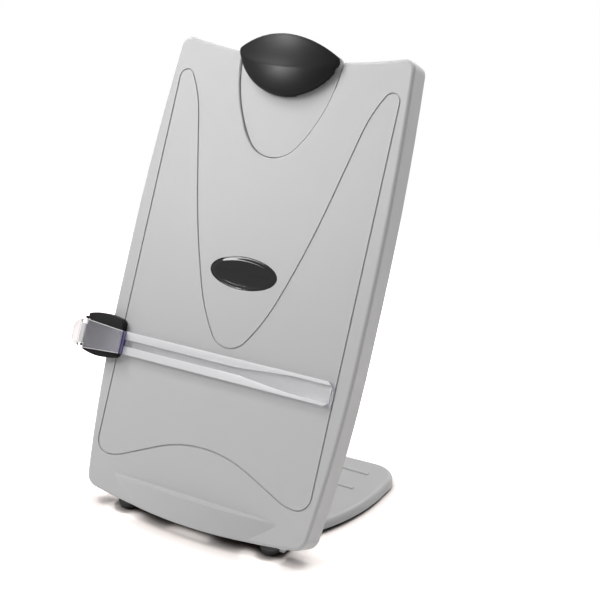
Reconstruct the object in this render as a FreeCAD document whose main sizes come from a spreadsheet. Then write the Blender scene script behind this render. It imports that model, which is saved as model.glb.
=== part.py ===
import FreeCAD, Part
import math
import os

import Sketcher

# Copy holder with line guide: a tilting panel on a weighted base, with a sliding clip and a line guide.
#
# Millimetres. World frame: +Z up, +Y to the back, +X to the reader's right, origin on the desk straight
# below the panel's hinge axis. What the panel carries is drawn in the panel frame: its origin is the hinge
# axis, X as before, Y up along the panel, Z out of its face.

Vector = FreeCAD.Vector
X_AXIS = Vector(1, 0, 0)
Y_AXIS = Vector(0, 1, 0)
Z_AXIS = Vector(0, 0, 1)

SIZES = {
    # stance
    "lean": 25.5,  # degrees that the panel leans back from upright
    "hinge_height": 12.0,
    "hinge_inset": 13.5,  # hinge axis behind the panel's face
    # panel tray
    "panel_width": 243.0,
    "top_draw": 8.5,  # how far each side comes in at the top corners
    "foot_draw": 11.0,
    "panel_depth": 23.0,
    "panel_wall": 3.0,
    "panel_skin": 3.0,
    "panel_top": 407.5,  # hinge axis to the top corners
    "panel_drop": 7.8,  # hinge axis down to the lower lip
    "top_dip": 12.5,
    "foot_bow": 9.2,
    "straight_low": 164.0,
    "straight_run": 40.0,
    "top_corner": 9.0,
    "foot_corner": 12.0,
    "edge_round": 3.0,
    "flange_depth": 8.0,
    # decorative groove
    "groove_width": 1.3,
    "groove_depth": 1.2,
    "groove_inset": 14.5,
    "groove_foot": 31.9,
    "groove_corner": 12.5,
    "wave_low_radius": 36.0,
    "wave_high_radius": 116.0,
    "wave_turn": 23.5,
    "vee_drop": 263.1,  # the vee's lowest point below the panel's top corners
    "vee_radius": 21.0,
    "vee_turn": 53.3,
    "vee_mid_radius": 162.0,
    "vee_mid_turn": 15.5,
    "vee_long_radius": 730.0,
    "vee_long_turn": 7.3,
    "peak_side_radius": 115.0,
    "peak_side_turn": 18.4,
    "peak_radius": 6.5,
    # paper ledge
    "ledge_top": 17.4,
    "ledge_nose": 14.8,
    "ledge_reach": 9.0,
    "ledge_dish": 30.0,
    "ledge_inset": 39.5,
    "chin_slope": 0.25,  # rise of the chin per millimetre of its height
    "chin_round": 2.0,
    # clip carrier
    "tongue_sink": 1.5,  # its face below the panel's
    "tongue_drop": 97.3,
    "tongue_round": 28.4,
    "tongue_turn": 53.6,
    "tongue_half": 48.4,
    "shoulder_drop": 9.0,
    "tongue_crown": 11.5,
    "tongue_corner": 6.0,
    "tongue_thick": 2.8,
    "seam": 0.8,
    "slide_gap": 0.2,
    "channel_floor": 2.5,
    "channel_edge": 5.0,
    "channel_brim": 1.4,
    "carrier_lift": 40.0,
    "carrier_stem_half": 3.6,
    "carrier_stem_rise": 27.5,
    "carrier_stem_length": 12.0,
    "catch_half": 9.0,
    "catch_thick": 2.0,
    "catch_gap": 1.4,
    "catch_margin": 2.0,
    "brake_leaf": 0.4,
    # clip
    "clip_half": 48.5,
    "clip_pin_drop": 6.5,  # the clip's pin below the tongue's shoulders
    "clip_top_rise": 20.0,  # the clip's top edge above its pin
    "clip_lip_drop": 30.3,
    "clip_ridge_drop": 6.7,
    "clip_ridge_height": 14.0,
    "clip_top_height": 16.5,
    "clip_top_thick": 3.0,
    "clip_top_round": 92.0,
    "clip_lip_height": 0.8,
    "clip_lip_thick": 1.5,
    "clip_back_height": 2.4,
    "clip_end_drop": 7.0,
    "clip_pin": 3.0,
    "clip_pin_height": 5.6,
    "clip_ear_in": 16.0,
    "clip_ear_thick": 4.0,
    "clip_ear_round": 3.8,
    "clip_end_low": 2.5,  # its blunt ends run from below the pin to above it
    "clip_end_high": 9.0,
    "clip_end_bulge": 3.5,
    "clip_hollow_half": 26.0,
    "clip_lug_thick": 4.0,
    "clip_jaw_round": 54.0,
    "clip_jaw_bulge": 85.0,
    "clip_jaw_fall": 6.6,  # from the ridge down to the rim
    "clip_rim_width": 3.0,
    "clip_rim_round": 6.0,
    "clip_pad_dish": 90.0,
    "grip_half": 16.0,
    "grip_setback": 4.0,
    "grip_length": 5.5,
    # badge
    "badge_rise": 64.9,  # its middle above the vee's lowest point
    "badge_half_width": 33.0,
    "badge_half_height": 14.0,
    "badge_sink": 1.2,
    "badge_proud": 0.9,
    # hinge
    "hinge_pin": 4.0,
    "running_fit": 0.06,  # radial clearance of a turning bore
    "press_fit": 0.02,
    "hinge_round": 5.0,
    "ear_in": 22.0,
    "ear_thick": 5.0,
    "lug_thick": 16.0,
    "washer_thick": 0.8,
    "washer_slack": 0.1,
    "washer_round": 4.5,
    "pin_head": 3.4,
    "pin_head_thick": 1.8,
    "ring_round": 3.8,
    "ring_thick": 0.8,
    "pin_tail": 1.4,
    # base
    "base_inset": 8.5,  # the base is this much narrower than the panel on each side
    "neck_inset": 35.5,
    "base_back": 164.5,
    "base_back_dip": 3.5,
    "base_neck": 32.0,
    "base_straight": 43.0,
    "base_corner": 24.0,
    "base_top": 11.0,
    "base_wall": 2.5,
    "base_top_round": 4.5,
    "base_step": 8.0,
    "base_step_top": 6.5,
    "base_rim_front": 4.2,
    "base_rim_back": 1.4,
    "base_cavity_front": 12.0,
    "rib_first_inset": 54.5,
    "rib_second_inset": 25.5,
    "rib_side_inset": 22.0,
    "rib_height": 0.9,
    "rib_width": 5.0,
    "cover_thick": 1.8,
    "cover_low": 4.2,
    "cover_gap": 0.3,
    "ballast_gap": 14.5,
    "ballast_front": 34.0,
    "ballast_thick": 2.0,
    "base_boss_round": 3.5,
    "base_boss_inset": 10.0,
    "base_boss_front": 30.0,
    "base_boss_back_inset": 22.5,
    # feet
    "foot_side": 73.0,  # from the middle plane to a front foot's middle
    "foot_back": 1.0,
    "foot_round": 9.0,
    "foot_sole": 4.4,
    "foot_height": 6.6,
    "foot_gap": 0.3,
    "toe_half": 5.0,
    "toe_reach": 4.5,
    "toe_low": 3.0,
    "toe_high": 5.4,
    "back_foot_round": 8.0,
    "back_foot_side_inset": 25.0,
    "back_foot_inset": 36.5,
    # rear cover
    "rear_cover_thick": 2.4,
    "rear_cover_rise": 11.5,  # above the back edge of the folded base
    "rear_cover_gap": 0.3,
    "rear_post_round": 4.0,
    "rear_post_inset": 37.5,
    "rear_post_rise": 24.0,
    "rear_post_drop": 41.5,
    "screw": 2.6,
    "screw_head": 5.0,
    "screw_head_thick": 1.6,
    # slider
    "slider_at": 131.0,
    "slider_reach": 19.5,  # outwards past the panel's side
    "slider_jaw_reach": 18.0,
    "slider_half": 19.2,
    "slider_end_half": 16.2,
    "slider_jaw": 7.5,
    "slider_gap": 0.4,
    "slider_bay": 2.6,
    "slider_wall": 2.4,
    "slider_cavity_half": 15.0,
    "slider_back_thick": 1.9,
    "slider_fold_gap": 0.6,  # between its back plate and the folded base
    "slider_post_round": 2.6,
    "slider_screw_sink": 1.0,
    # line guide
    "guide_drop": 2.3,
    "bar_inset": 16.0,
    "bar_step": 4.0,
    "bar_half": 10.0,
    "bar_lift": 1.6,
    "bar_thick": 1.4,
    "bar_lip": 3.4,
    "bar_lip_root": 7.0,
    "bar_lip_tip": 2.8,
    "bar_lip_slim": 38.0,  # the length at the bar's end over which its lips are slim
    "bar_lip_taper": 50.0,
    "bar_end_round": 5.0,
    "plate_gap": 0.5,
    "plate_thick": 2.4,
    "plate_inset": 2.0,
    "plate_left_half": 12.8,
    "step_thick": 2.2,
    "tab_reach": 11.1,
    "tab_root_reach": 3.0,
    "tab_half": 12.0,
    "tab_round": 8.0,
    "guide_pin": 2.0,
    "guide_pin_reach": 1.4,
    "guide_pin_drop": 2.2,
    "barrel_round": 2.9,
    "barrel_half": 9.0,
    "spring_bay": 4.0,
    "guide_lug_thick": 2.2,
    "guide_gap": 0.3,
    "spring_wire": 0.5,
}


class Dim:
    """A size that knows its number and the expression that ties it to the sheet."""

    def __init__(self, value, text):
        self.value = value
        self.text = text

    @staticmethod
    def of(other):
        if isinstance(other, Dim):
            return other
        return Dim(float(other), "({:.6f})".format(other))

    def joined(self, sign, other, value):
        return Dim(value, "({} {} {})".format(self.text, sign, other.text))

    def __add__(self, other):
        other = Dim.of(other)
        return self.joined("+", other, self.value + other.value)

    def __sub__(self, other):
        other = Dim.of(other)
        return self.joined("-", other, self.value - other.value)

    def __mul__(self, other):
        other = Dim.of(other)
        return self.joined("*", other, self.value * other.value)

    def __truediv__(self, other):
        other = Dim.of(other)
        return self.joined("/", other, self.value / other.value)

    def __radd__(self, other):
        return Dim.of(other) + self

    def __rsub__(self, other):
        return Dim.of(other) - self

    def __rmul__(self, other):
        return Dim.of(other) * self

    def __neg__(self):
        return Dim.of(0) - self


def sine(angle):
    return Dim(math.sin(math.radians(angle.value)), "sin({})".format(angle.text))


def cosine(angle):
    return Dim(math.cos(math.radians(angle.value)), "cos({})".format(angle.text))


def arcsine(ratio):
    return Dim(math.degrees(math.asin(ratio.value)), "asin({})".format(ratio.text))


def arc_radius(run, rise):
    """Radius of the arc that starts along the run and has moved sideways by rise at its end."""
    return (run * run + rise * rise) / (2 * rise)


class Sizes:
    """The driving dimensions, each under its own name."""


doc = FreeCAD.newDocument("copy_holder")
sheet = doc.addObject("Spreadsheet::Sheet", "Sizes")
s = Sizes()
for row, (alias, number) in enumerate(SIZES.items(), start=1):
    sheet.set("A{}".format(row), alias)
    sheet.set("B{}".format(row), str(number))
    sheet.setAlias("B{}".format(row), alias)
    setattr(s, alias, Dim(number, "Sizes." + alias))
doc.recompute()

nodes = {}

# places that several pieces share: across the panel, along it, and out of its face
half_width = s.panel_width / 2
top_half_width = half_width - s.top_draw
foot_half_width = half_width - s.foot_draw
base_half = half_width - s.base_inset
neck_half = half_width - s.neck_inset
boss_half = neck_half - s.base_boss_inset
boss_back = s.base_back - s.base_boss_back_inset
post_half = half_width - s.rear_post_inset
slider_left = -(half_width + s.slider_reach)
slider_right = -(half_width - s.slider_jaw_reach)
guide_pin_x = slider_left - s.guide_pin_reach

straight_high = s.straight_low + s.straight_run
vee_bottom = s.panel_top - s.vee_drop
badge_at = vee_bottom + s.badge_rise
tongue_bottom = s.panel_top - s.tongue_drop
tongue_shoulder = s.panel_top - s.shoulder_drop
stem_low = tongue_bottom + s.carrier_stem_rise
stem_high = stem_low + s.carrier_stem_length
clip_pin_at = tongue_shoulder - s.clip_pin_drop
clip_top = clip_pin_at + s.clip_top_rise
clip_lip = clip_pin_at - s.clip_lip_drop
cover_low_edge = s.base_back + s.rear_cover_rise
posts_at = {"low": cover_low_edge + s.rear_post_rise, "high": s.panel_top - s.rear_post_drop}
guide_at = s.slider_at - s.guide_drop

face = s.hinge_inset
inner = face - s.panel_skin
back = face - s.panel_depth
tongue_face = face - s.tongue_sink
floor_front = tongue_face - s.tongue_thick - s.slide_gap
floor_back = floor_front - s.channel_floor
ear_out = s.ear_in + s.ear_thick
lug_in = ear_out + s.washer_thick + 2 * s.washer_slack
lug_out = lug_in + s.lug_thick
far_ear_in = lug_out + s.washer_thick + 2 * s.washer_slack
far_ear_out = far_ear_in + s.ear_thick


# ---------------------------------------------------------------- drawing helpers

def new_body(label):
    body = doc.addObject("PartDesign::Body", label)
    body.Label = label
    return body


def new_sketch(body, name, plane, height):
    """A sketch on one of the body's origin planes, raised along that plane's normal."""
    sketch = body.newObject("Sketcher::SketchObject", body.Label + "_" + name)
    origin_plane = [item for item in body.Origin.OriginFeatures if item.Role == plane][0]
    sketch.AttachmentSupport = [(origin_plane, "")]
    sketch.MapMode = "FlatFace"
    sketch.AttachmentOffset = FreeCAD.Placement(Vector(0, 0, height.value), FreeCAD.Rotation())
    sketch.setExpression("AttachmentOffset.Base.z", height.text)
    return sketch


def tie(sketch, kind, places, size):
    """Add a constraint whose value follows the sheet."""
    size = Dim.of(size)
    index = sketch.addConstraint(Sketcher.Constraint(kind, *places, size.value))
    if "Sizes." in size.text:
        sketch.setExpression("Constraints[{}]".format(index), size.text)


def pin_point(sketch, curve, end, x, y):
    tie(sketch, "DistanceX", (-1, 1, curve, end), x)
    tie(sketch, "DistanceY", (-1, 1, curve, end), y)


def arc_between(start, end, radius):
    """The minor arc from start to end; a positive radius turns left, a negative one right."""
    chord = end - start
    size = abs(radius)
    rise = math.sqrt(max(size * size - chord.Length ** 2 / 4, 0))
    left = Vector(-chord.y, chord.x, 0).normalize()
    centre = (start + end) / 2 + left * math.copysign(rise, radius)
    first, last = (start, end) if radius > 0 else (end, start)
    angles = [math.atan2(point.y - centre.y, point.x - centre.x) for point in (first, last)]
    if angles[1] < angles[0]:
        angles[1] += 2 * math.pi
    return Part.ArcOfCircle(Part.Circle(centre, Z_AXIS, size), angles[0], angles[1])


def outline(sketch, corners):
    """A closed outline. Each corner is (x, y) or (x, y, radius of the arc that leads to the next)."""
    corners = [tuple(Dim.of(number) for number in corner) for corner in corners]
    count = len(corners)
    points = [Vector(corner[0].value, corner[1].value, 0) for corner in corners]
    ends = []
    for index, corner in enumerate(corners):
        start, end = points[index], points[(index + 1) % count]
        if len(corner) == 2:
            curve = sketch.addGeometry(Part.LineSegment(start, end))
            ends.append((curve, 1, 2))
        else:
            radius = corner[2]
            curve = sketch.addGeometry(arc_between(start, end, radius.value))
            ends.append((curve, 1, 2) if radius.value > 0 else (curve, 2, 1))
            size = radius if radius.value > 0 else -radius
            tie(sketch, "Radius", (curve,), size)
    for index, (curve, first, last) in enumerate(ends):
        following, begin, _ = ends[(index + 1) % count]
        sketch.addConstraint(Sketcher.Constraint("Coincident", curve, last, following, begin))
        pin_point(sketch, curve, first, corners[index][0], corners[index][1])


def box_outline(sketch, left, right, low, high):
    outline(sketch, [(left, low), (right, low), (right, high), (left, high)])


def disc(sketch, x, y, radius):
    x, y, radius = Dim.of(x), Dim.of(y), Dim.of(radius)
    circle = Part.Circle(Vector(x.value, y.value, 0), Z_AXIS, radius.value)
    curve = sketch.addGeometry(circle)
    pin_point(sketch, curve, 3, x, y)
    tie(sketch, "Radius", (curve,), radius)


def extrude(body, name, plane, low, high, draw, cut=False):
    """Pad or pocket a profile between two places along the axis that is square to its plane."""
    low, high = Dim.of(low), Dim.of(high)
    if plane == "XZ_Plane":
        height = -low if cut else -high
    else:
        height = high if cut else low
    sketch = new_sketch(body, name + "_sketch", plane, height)
    draw(sketch)
    kind = "PartDesign::Pocket" if cut else "PartDesign::Pad"
    feature = body.newObject(kind, body.Label + "_" + name)
    feature.Profile = sketch
    feature.Length = (high - low).value
    feature.setExpression("Length", (high - low).text)
    doc.recompute()
    return feature


def pad(body, name, plane, low, high, draw):
    return extrude(body, name, plane, low, high, draw)


def pocket(body, name, plane, low, high, draw):
    return extrude(body, name, plane, low, high, draw, cut=True)


def pad_box(body, name, x_range, y_range, z_range):
    return pad(body, name, "XY_Plane", z_range[0], z_range[1],
               lambda sketch: box_outline(sketch, x_range[0], x_range[1], y_range[0], y_range[1]))


def pocket_box(body, name, x_range, y_range, z_range):
    return pocket(body, name, "XY_Plane", z_range[0], z_range[1],
                  lambda sketch: box_outline(sketch, x_range[0], x_range[1], y_range[0], y_range[1]))


def round_edges(body, name, wanted, radius):
    """Fillet every edge of the body that the test picks."""
    tip = body.Tip
    names = ["Edge{}".format(number) for number, edge in enumerate(tip.Shape.Edges, start=1) if wanted(edge)]
    fillet = body.newObject("PartDesign::Fillet", body.Label + "_" + name)
    fillet.Base = (tip, names)
    fillet.Radius = radius.value
    fillet.setExpression("Radius", radius.text)
    doc.recompute()
    return fillet


def middle(edge):
    first, last = edge.ParameterRange
    return edge.valueAt((first + last) / 2)


def is_upright(edge):
    ends = [vertex.Point for vertex in edge.Vertexes]
    return len(ends) == 2 and (ends[1] - ends[0]).cross(Z_AXIS).Length < 0.001


def both_sides(build):
    """Build a thing once on each side of the middle plane: the builder gets -1 and 1."""
    for side in (-1, 1):
        build(side)


def side_range(side, near, far):
    """The X range between two distances from the middle, on the given side."""
    if side > 0:
        return near, far
    return -far, -near


def on_panel(item):
    """Stand a piece that was drawn in the panel frame in its place on the hinge."""
    item.Placement = FreeCAD.Placement(
        Vector(0, 0, s.hinge_height.value), FreeCAD.Rotation(X_AXIS, 90 - s.lean.value))
    item.setExpression("Placement.Base.z", s.hinge_height.text)
    item.setExpression("Placement.Rotation.Angle", (90 - s.lean).text)


def keep(name, item, panel=False):
    item.Label = name
    if panel:
        on_panel(item)
    nodes[name] = item


# ---------------------------------------------------------------- panel

def panel_outline(sketch, inset):
    """The barrel-sided outline of the panel, or the same outline moved inwards."""
    half = half_width - inset
    top_half = top_half_width - inset
    foot_half = foot_half_width - inset
    foot = s.foot_bow - s.panel_drop + inset
    top = s.panel_top - inset
    low_side = arc_radius(s.straight_low - foot, half - foot_half)
    high_side = arc_radius(top - straight_high, half - top_half)
    foot_arc = arc_radius(foot_half, s.foot_bow)
    top_arc = arc_radius(top_half, s.top_dip)
    outline(sketch, [
        (-foot_half, foot, foot_arc),
        (foot_half, foot, low_side),
        (half, s.straight_low),
        (half, straight_high, high_side),
        (top_half, top, -top_arc),
        (-top_half, top, high_side),
        (-half, straight_high),
        (-half, s.straight_low, low_side),
    ])


def tongue_sides(grow):
    """Half width, shoulder and lower corner of the U-shaped tongue, and the radii of its arcs."""
    radius = s.tongue_round + grow
    corner_x = radius * sine(s.tongue_turn)
    corner_y = tongue_bottom - grow + radius * (1 - cosine(s.tongue_turn))
    half = s.tongue_half + grow
    run = half - corner_x
    rise = tongue_shoulder - corner_y
    across = cosine(s.tongue_turn) * rise - sine(s.tongue_turn) * run
    flank = (run * run + rise * rise) / (2 * across)
    return half, corner_x, corner_y, radius, flank


def hinge_lug(body, side):
    """The block below the panel's skin that turns on the hinge pin."""
    low, high = side_range(side, lug_in, lug_out)
    tag = "left" if side < 0 else "right"
    pad(body, "lug_round_" + tag, "YZ_Plane", low, high,
        lambda sketch: disc(sketch, 0, 0, s.hinge_round))
    pad(body, "lug_web_" + tag, "YZ_Plane", low, high,
        lambda sketch: box_outline(sketch, -s.hinge_round, s.hinge_round, 0, inner + 0.5))


def panel_shell():
    """Tray with its hinge lugs, ledge, clip channel and screw posts."""
    body = new_body("front_panel_shell")
    pad(body, "block", "XY_Plane", back, face, lambda sketch: panel_outline(sketch, Dim.of(0)))
    pocket(body, "tray", "XY_Plane", back, inner, lambda sketch: panel_outline(sketch, s.panel_wall))

    def corner(edge, top, outer):
        point = middle(edge)
        half = top_half_width.value if top else foot_half_width.value
        if not is_upright(edge) or abs(point.x) < half - s.panel_wall.value - 2:
            return False
        is_level = point.y > s.panel_top.value - 12 if top else point.y < 12
        return is_level and (abs(point.x) > half - 1) == outer

    round_edges(body, "outer_top", lambda edge: corner(edge, True, True), s.top_corner)
    round_edges(body, "inner_top", lambda edge: corner(edge, True, False), s.top_corner - s.panel_wall)
    round_edges(body, "outer_foot", lambda edge: corner(edge, False, True), s.foot_corner)
    round_edges(body, "inner_foot", lambda edge: corner(edge, False, False), s.foot_corner - s.panel_wall)
    front = face.value
    round_edges(body, "front_edge", lambda edge: abs(middle(edge).z - front) < 0.001
                and abs(edge.BoundBox.ZLength) < 0.001, s.edge_round)

    # the foot is open behind a short flange, so that hinge, toes and base can pass
    foot_high = s.foot_bow
    pocket_box(body, "foot_opening", (-(neck_half + 3), neck_half + 3),
               (-(s.panel_drop + 1), foot_high), (back - 1, face - s.flange_depth))
    both_sides(lambda side: pocket_box(
        body, "toe_notch_left" if side < 0 else "toe_notch_right",
        side_range(side, s.foot_side - s.foot_round - 2, s.foot_side + s.foot_round + 2),
        (-(s.panel_drop + 1), foot_high), (face - s.flange_depth - 1, inner)))
    both_sides(lambda side: hinge_lug(body, side))
    both_sides(lambda side: pocket(
        body, "lug_bore_left" if side < 0 else "lug_bore_right", "YZ_Plane",
        side_range(side, lug_in - 1, lug_out + 1)[0], side_range(side, lug_in - 1, lug_out + 1)[1],
        lambda sketch: disc(sketch, 0, 0, s.hinge_pin / 2 + s.running_fit)))
    add_ledge(body)
    add_clip_channel(body)
    for level, height in posts_at.items():
        both_sides(lambda side: rear_post(body, side, level, height))
    return body


def add_ledge(body):
    """Paper ledge and the chin below it, turned about a far axis so that their ends sink into the face."""
    ledge = new_body("ledge")
    half = half_width - s.ledge_inset
    radius = arc_radius(half, s.ledge_reach)
    base = radius - s.ledge_reach
    axis_height = face - base
    sketch = new_sketch(ledge, "nose", "YZ_Plane", Dim.of(0))
    sketch.AttachmentOffset.Base = Vector(0, axis_height.value, 0)
    sketch.setExpression("AttachmentOffset.Base.y", axis_height.text)
    low = -(s.panel_drop + 3)
    outline(sketch, [
        (s.ledge_top, base - 0.5),
        (s.ledge_top, radius),
        (s.ledge_nose, radius),
        (low, radius - s.chin_slope * (s.ledge_nose - low)),
        (low, base - 0.5),
    ])
    turned = ledge.newObject("PartDesign::Revolution", "ledge_turned")
    turned.Profile = sketch
    turned.ReferenceAxis = (sketch, ["H_Axis"])
    sweep = 2.4 * arcsine(half / radius)
    turned.Angle = sweep.value
    turned.setExpression("Angle", sweep.text)
    turned.Midplane = True
    doc.recompute()
    pocket_box(ledge, "below_face", (-half_width, half_width), (low - 1, s.ledge_top + 1),
               (face - s.panel_width, face - s.edge_round - 0.5))
    beyond = face + s.ledge_reach + 1

    def dish(sketch):
        outline(sketch, [
            (s.ledge_top, face, -s.ledge_dish),
            (s.ledge_nose, face + s.ledge_reach),
            (s.ledge_nose, beyond),
            (s.ledge_top + 1, beyond),
            (s.ledge_top + 1, face),
        ])

    pocket(ledge, "dish", "YZ_Plane", -half_width, half_width, dish)
    foot = s.foot_bow - s.panel_drop + 0.1

    def past_foot(sketch):
        outline(sketch, [(-foot_half_width, foot, arc_radius(foot_half_width, s.foot_bow)),
                         (foot_half_width, foot), (foot_half_width, low - 2), (-foot_half_width, low - 2)])

    pocket(ledge, "foot", "XY_Plane", face - s.edge_round - 1, beyond, past_foot)
    round_edges(ledge, "chin_edge", lambda edge: abs(middle(edge).x) < 1 and middle(edge).y < 0
                and middle(edge).z > face.value, s.chin_round)
    binder = body.newObject("PartDesign::Boolean", "front_panel_ledge")
    binder.addObject(ledge)
    binder.Type = 0
    doc.recompute()


def add_clip_channel(body):
    """The U-shaped recess for the tongue, its floor and the slot that the carrier's stem runs in."""
    half, corner_x, corner_y, radius, flank = tongue_sides(s.seam)
    beyond = tongue_shoulder + 40
    edge = s.channel_edge
    pad_box(body, "channel_backing", (-(half + edge), half + edge),
            (tongue_bottom - edge, s.panel_top - s.top_dip - s.panel_wall + 0.5), (floor_back, inner + 0.5))

    def recess(sketch):
        outline(sketch, [
            (-corner_x, corner_y, radius),
            (corner_x, corner_y, flank),
            (half, tongue_shoulder),
            (half, beyond),
            (-half, beyond),
            (-half, tongue_shoulder, flank),
        ])

    pocket(body, "channel", "XY_Plane", floor_front, face + 1, recess)
    front = face.value
    round_edges(body, "channel_brim", lambda edge: abs(middle(edge).z - front) < 0.001
                and abs(edge.BoundBox.ZLength) < 0.001 and abs(middle(edge).x) < half.value + 1
                and middle(edge).y > tongue_bottom.value - 2, s.channel_brim)
    stem = s.carrier_stem_half + s.slide_gap
    slot_low = stem_low - s.slide_gap
    slot_high = stem_high + s.carrier_lift + s.slide_gap
    pocket_box(body, "slot", (-stem, stem), (slot_low, slot_high), (floor_back - 1, floor_front + 1))


def rear_post(body, side, level, height):
    """Screw post for the rear cover."""
    tag = level + ("_left" if side < 0 else "_right")
    cover_face = back + s.rear_cover_thick
    pad(body, "post_" + tag, "XY_Plane", cover_face, inner + 0.5,
        lambda sketch: disc(sketch, side * post_half, height, s.rear_post_round))
    pocket(body, "pilot_" + tag, "XY_Plane", cover_face - 1, inner - 2,
           lambda sketch: disc(sketch, side * post_half, height, s.screw / 2))


def groove_path():
    """The closed decorative line: straight legs, a wave between them and a deep vee above it."""
    sketch = doc.addObject("Sketcher::SketchObject", "groove_path")
    side = (half_width - s.groove_inset).value
    turns = {name: math.radians(number) for name, number in (
        ("wave", s.wave_turn.value), ("vee", s.vee_turn.value), ("mid", s.vee_mid_turn.value),
        ("long", s.vee_long_turn.value), ("peak", s.peak_side_turn.value))}
    point = Vector(0, vee_bottom.value, 0)
    heading = 0.0
    steps = [
        (s.vee_radius, turns["vee"]),
        (s.vee_mid_radius, turns["mid"]),
        (s.vee_long_radius, turns["long"]),
        ("flank", None),
        (s.peak_side_radius, -turns["peak"]),
        (s.peak_radius, None),
        ("leg", None),
        (s.groove_corner, -math.pi / 2),
        (s.wave_low_radius, -turns["wave"]),
        ("wave", None),
        (s.wave_high_radius, turns["wave"]),
    ]
    flank_heading = turns["vee"] + turns["mid"] + turns["long"]
    peak_heading = flank_heading - turns["peak"]
    peak_run = (s.peak_side_radius.value * (math.sin(flank_heading) - math.sin(peak_heading))
                + s.peak_radius.value * (math.sin(peak_heading) + 1))
    right = []
    for size, turn in steps:
        if size == "flank":
            length = (side - peak_run - point.x) / math.cos(heading)
            curve, point = straight(point, heading, length)
        elif size == "leg":
            length = point.y - s.groove_foot.value - s.groove_corner.value
            curve, point = straight(point, heading, length)
        elif size == "wave":
            run = point.x - s.wave_high_radius.value * math.sin(turns["wave"])
            curve, point = straight(point, heading, run / math.cos(turns["wave"]))
        else:
            if turn is None:
                turn = -(heading + math.pi / 2)
            curve, point = bend(point, heading, size.value, turn)
            heading += turn
        right.append((curve, size))
    for mirrored in (False, True):
        for curve, size in right:
            shape = mirror_curve(curve) if mirrored else curve
            index = sketch.addGeometry(shape)
            if isinstance(size, Dim):
                tie(sketch, "Radius", (index,), size)
    doc.recompute()
    return sketch


def straight(start, heading, length):
    end = start + Vector(math.cos(heading), math.sin(heading), 0) * length
    return Part.LineSegment(start, end), end


def bend(start, heading, radius, turn):
    """An arc that leaves start along the heading and turns by the given angle."""
    hand = math.copysign(1, turn)
    centre = start + Vector(-math.sin(heading), math.cos(heading), 0) * (hand * radius)
    first = heading - hand * math.pi / 2
    last = first + turn
    end = centre + Vector(math.cos(last), math.sin(last), 0) * radius
    low, high = min(first, last), max(first, last)
    return Part.ArcOfCircle(Part.Circle(centre, Z_AXIS, radius), low, high), end


def mirror_curve(curve):
    """The same curve on the other side of the middle plane."""
    if isinstance(curve, Part.LineSegment):
        ends = [Vector(-point.x, point.y, 0) for point in (curve.StartPoint, curve.EndPoint)]
        return Part.LineSegment(ends[1], ends[0])
    centre = Vector(-curve.Center.x, curve.Center.y, 0)
    low, high = math.pi - curve.LastParameter, math.pi - curve.FirstParameter
    return Part.ArcOfCircle(Part.Circle(centre, Z_AXIS, curve.Radius), low, high)


def front_panel():
    """The tray with the groove and the badge seat cut into its face."""
    shell = panel_shell()
    path = groove_path()
    band = doc.addObject("Part::Offset2D", "groove_band")
    band.Source = path
    band.Fill = True
    band.Value = s.groove_width.value
    band.setExpression("Value", s.groove_width.text)
    groove = doc.addObject("Part::Extrusion", "groove_cutter")
    groove.Base = band
    groove.DirMode = "Custom"
    groove.Dir = Z_AXIS
    groove.Solid = True
    groove.LengthFwd = s.groove_depth.value + 1
    groove.setExpression("LengthFwd", (s.groove_depth + 1).text)
    groove.Placement.Base = Vector(0, 0, (face - s.groove_depth).value)
    groove.setExpression("Placement.Base.z", (face - s.groove_depth).text)
    seat = oval_disc("badge_seat", s.press_fit * 2, face - s.badge_sink, face + 1)
    grooved = doc.addObject("Part::Cut", "grooved_panel")
    grooved.Base = shell
    grooved.Tool = groove
    panel = doc.addObject("Part::Cut", "front_panel")
    panel.Base = grooved
    panel.Tool = seat
    doc.recompute()
    keep("front_panel", panel, panel=True)


def oval_disc(name, grow, low, high):
    """Oval slab that lies parallel to the panel's face at the badge's place."""
    oval = doc.addObject("Part::Ellipse", name + "_oval")
    oval.setExpression("MajorRadius", (s.badge_half_width + grow).text)
    oval.setExpression("MinorRadius", (s.badge_half_height + grow).text)
    oval.setExpression("Placement.Base.y", badge_at.text)
    oval.setExpression("Placement.Base.z", low.text)
    slab = doc.addObject("Part::Extrusion", name)
    slab.Base = oval
    slab.DirMode = "Custom"
    slab.Dir = Z_AXIS
    slab.Solid = True
    slab.setExpression("LengthFwd", (high - low).text)
    doc.recompute()
    return slab


def badge():
    slab = oval_disc("badge_slab", Dim.of(0), face - s.badge_sink + s.press_fit, face + s.badge_proud)
    rounded = doc.addObject("Part::Fillet", "badge")
    rounded.Base = slab
    top = (face + s.badge_proud).value
    rims = [number for number, edge in enumerate(slab.Shape.Edges, start=1)
            if edge.BoundBox.ZLength < 0.001 and abs(middle(edge).z - top) < 0.001]
    rounded.Edges = [(number, s.badge_proud.value * 0.8, s.badge_proud.value * 0.8) for number in rims]
    doc.recompute()
    keep("badge", rounded, panel=True)


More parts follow.
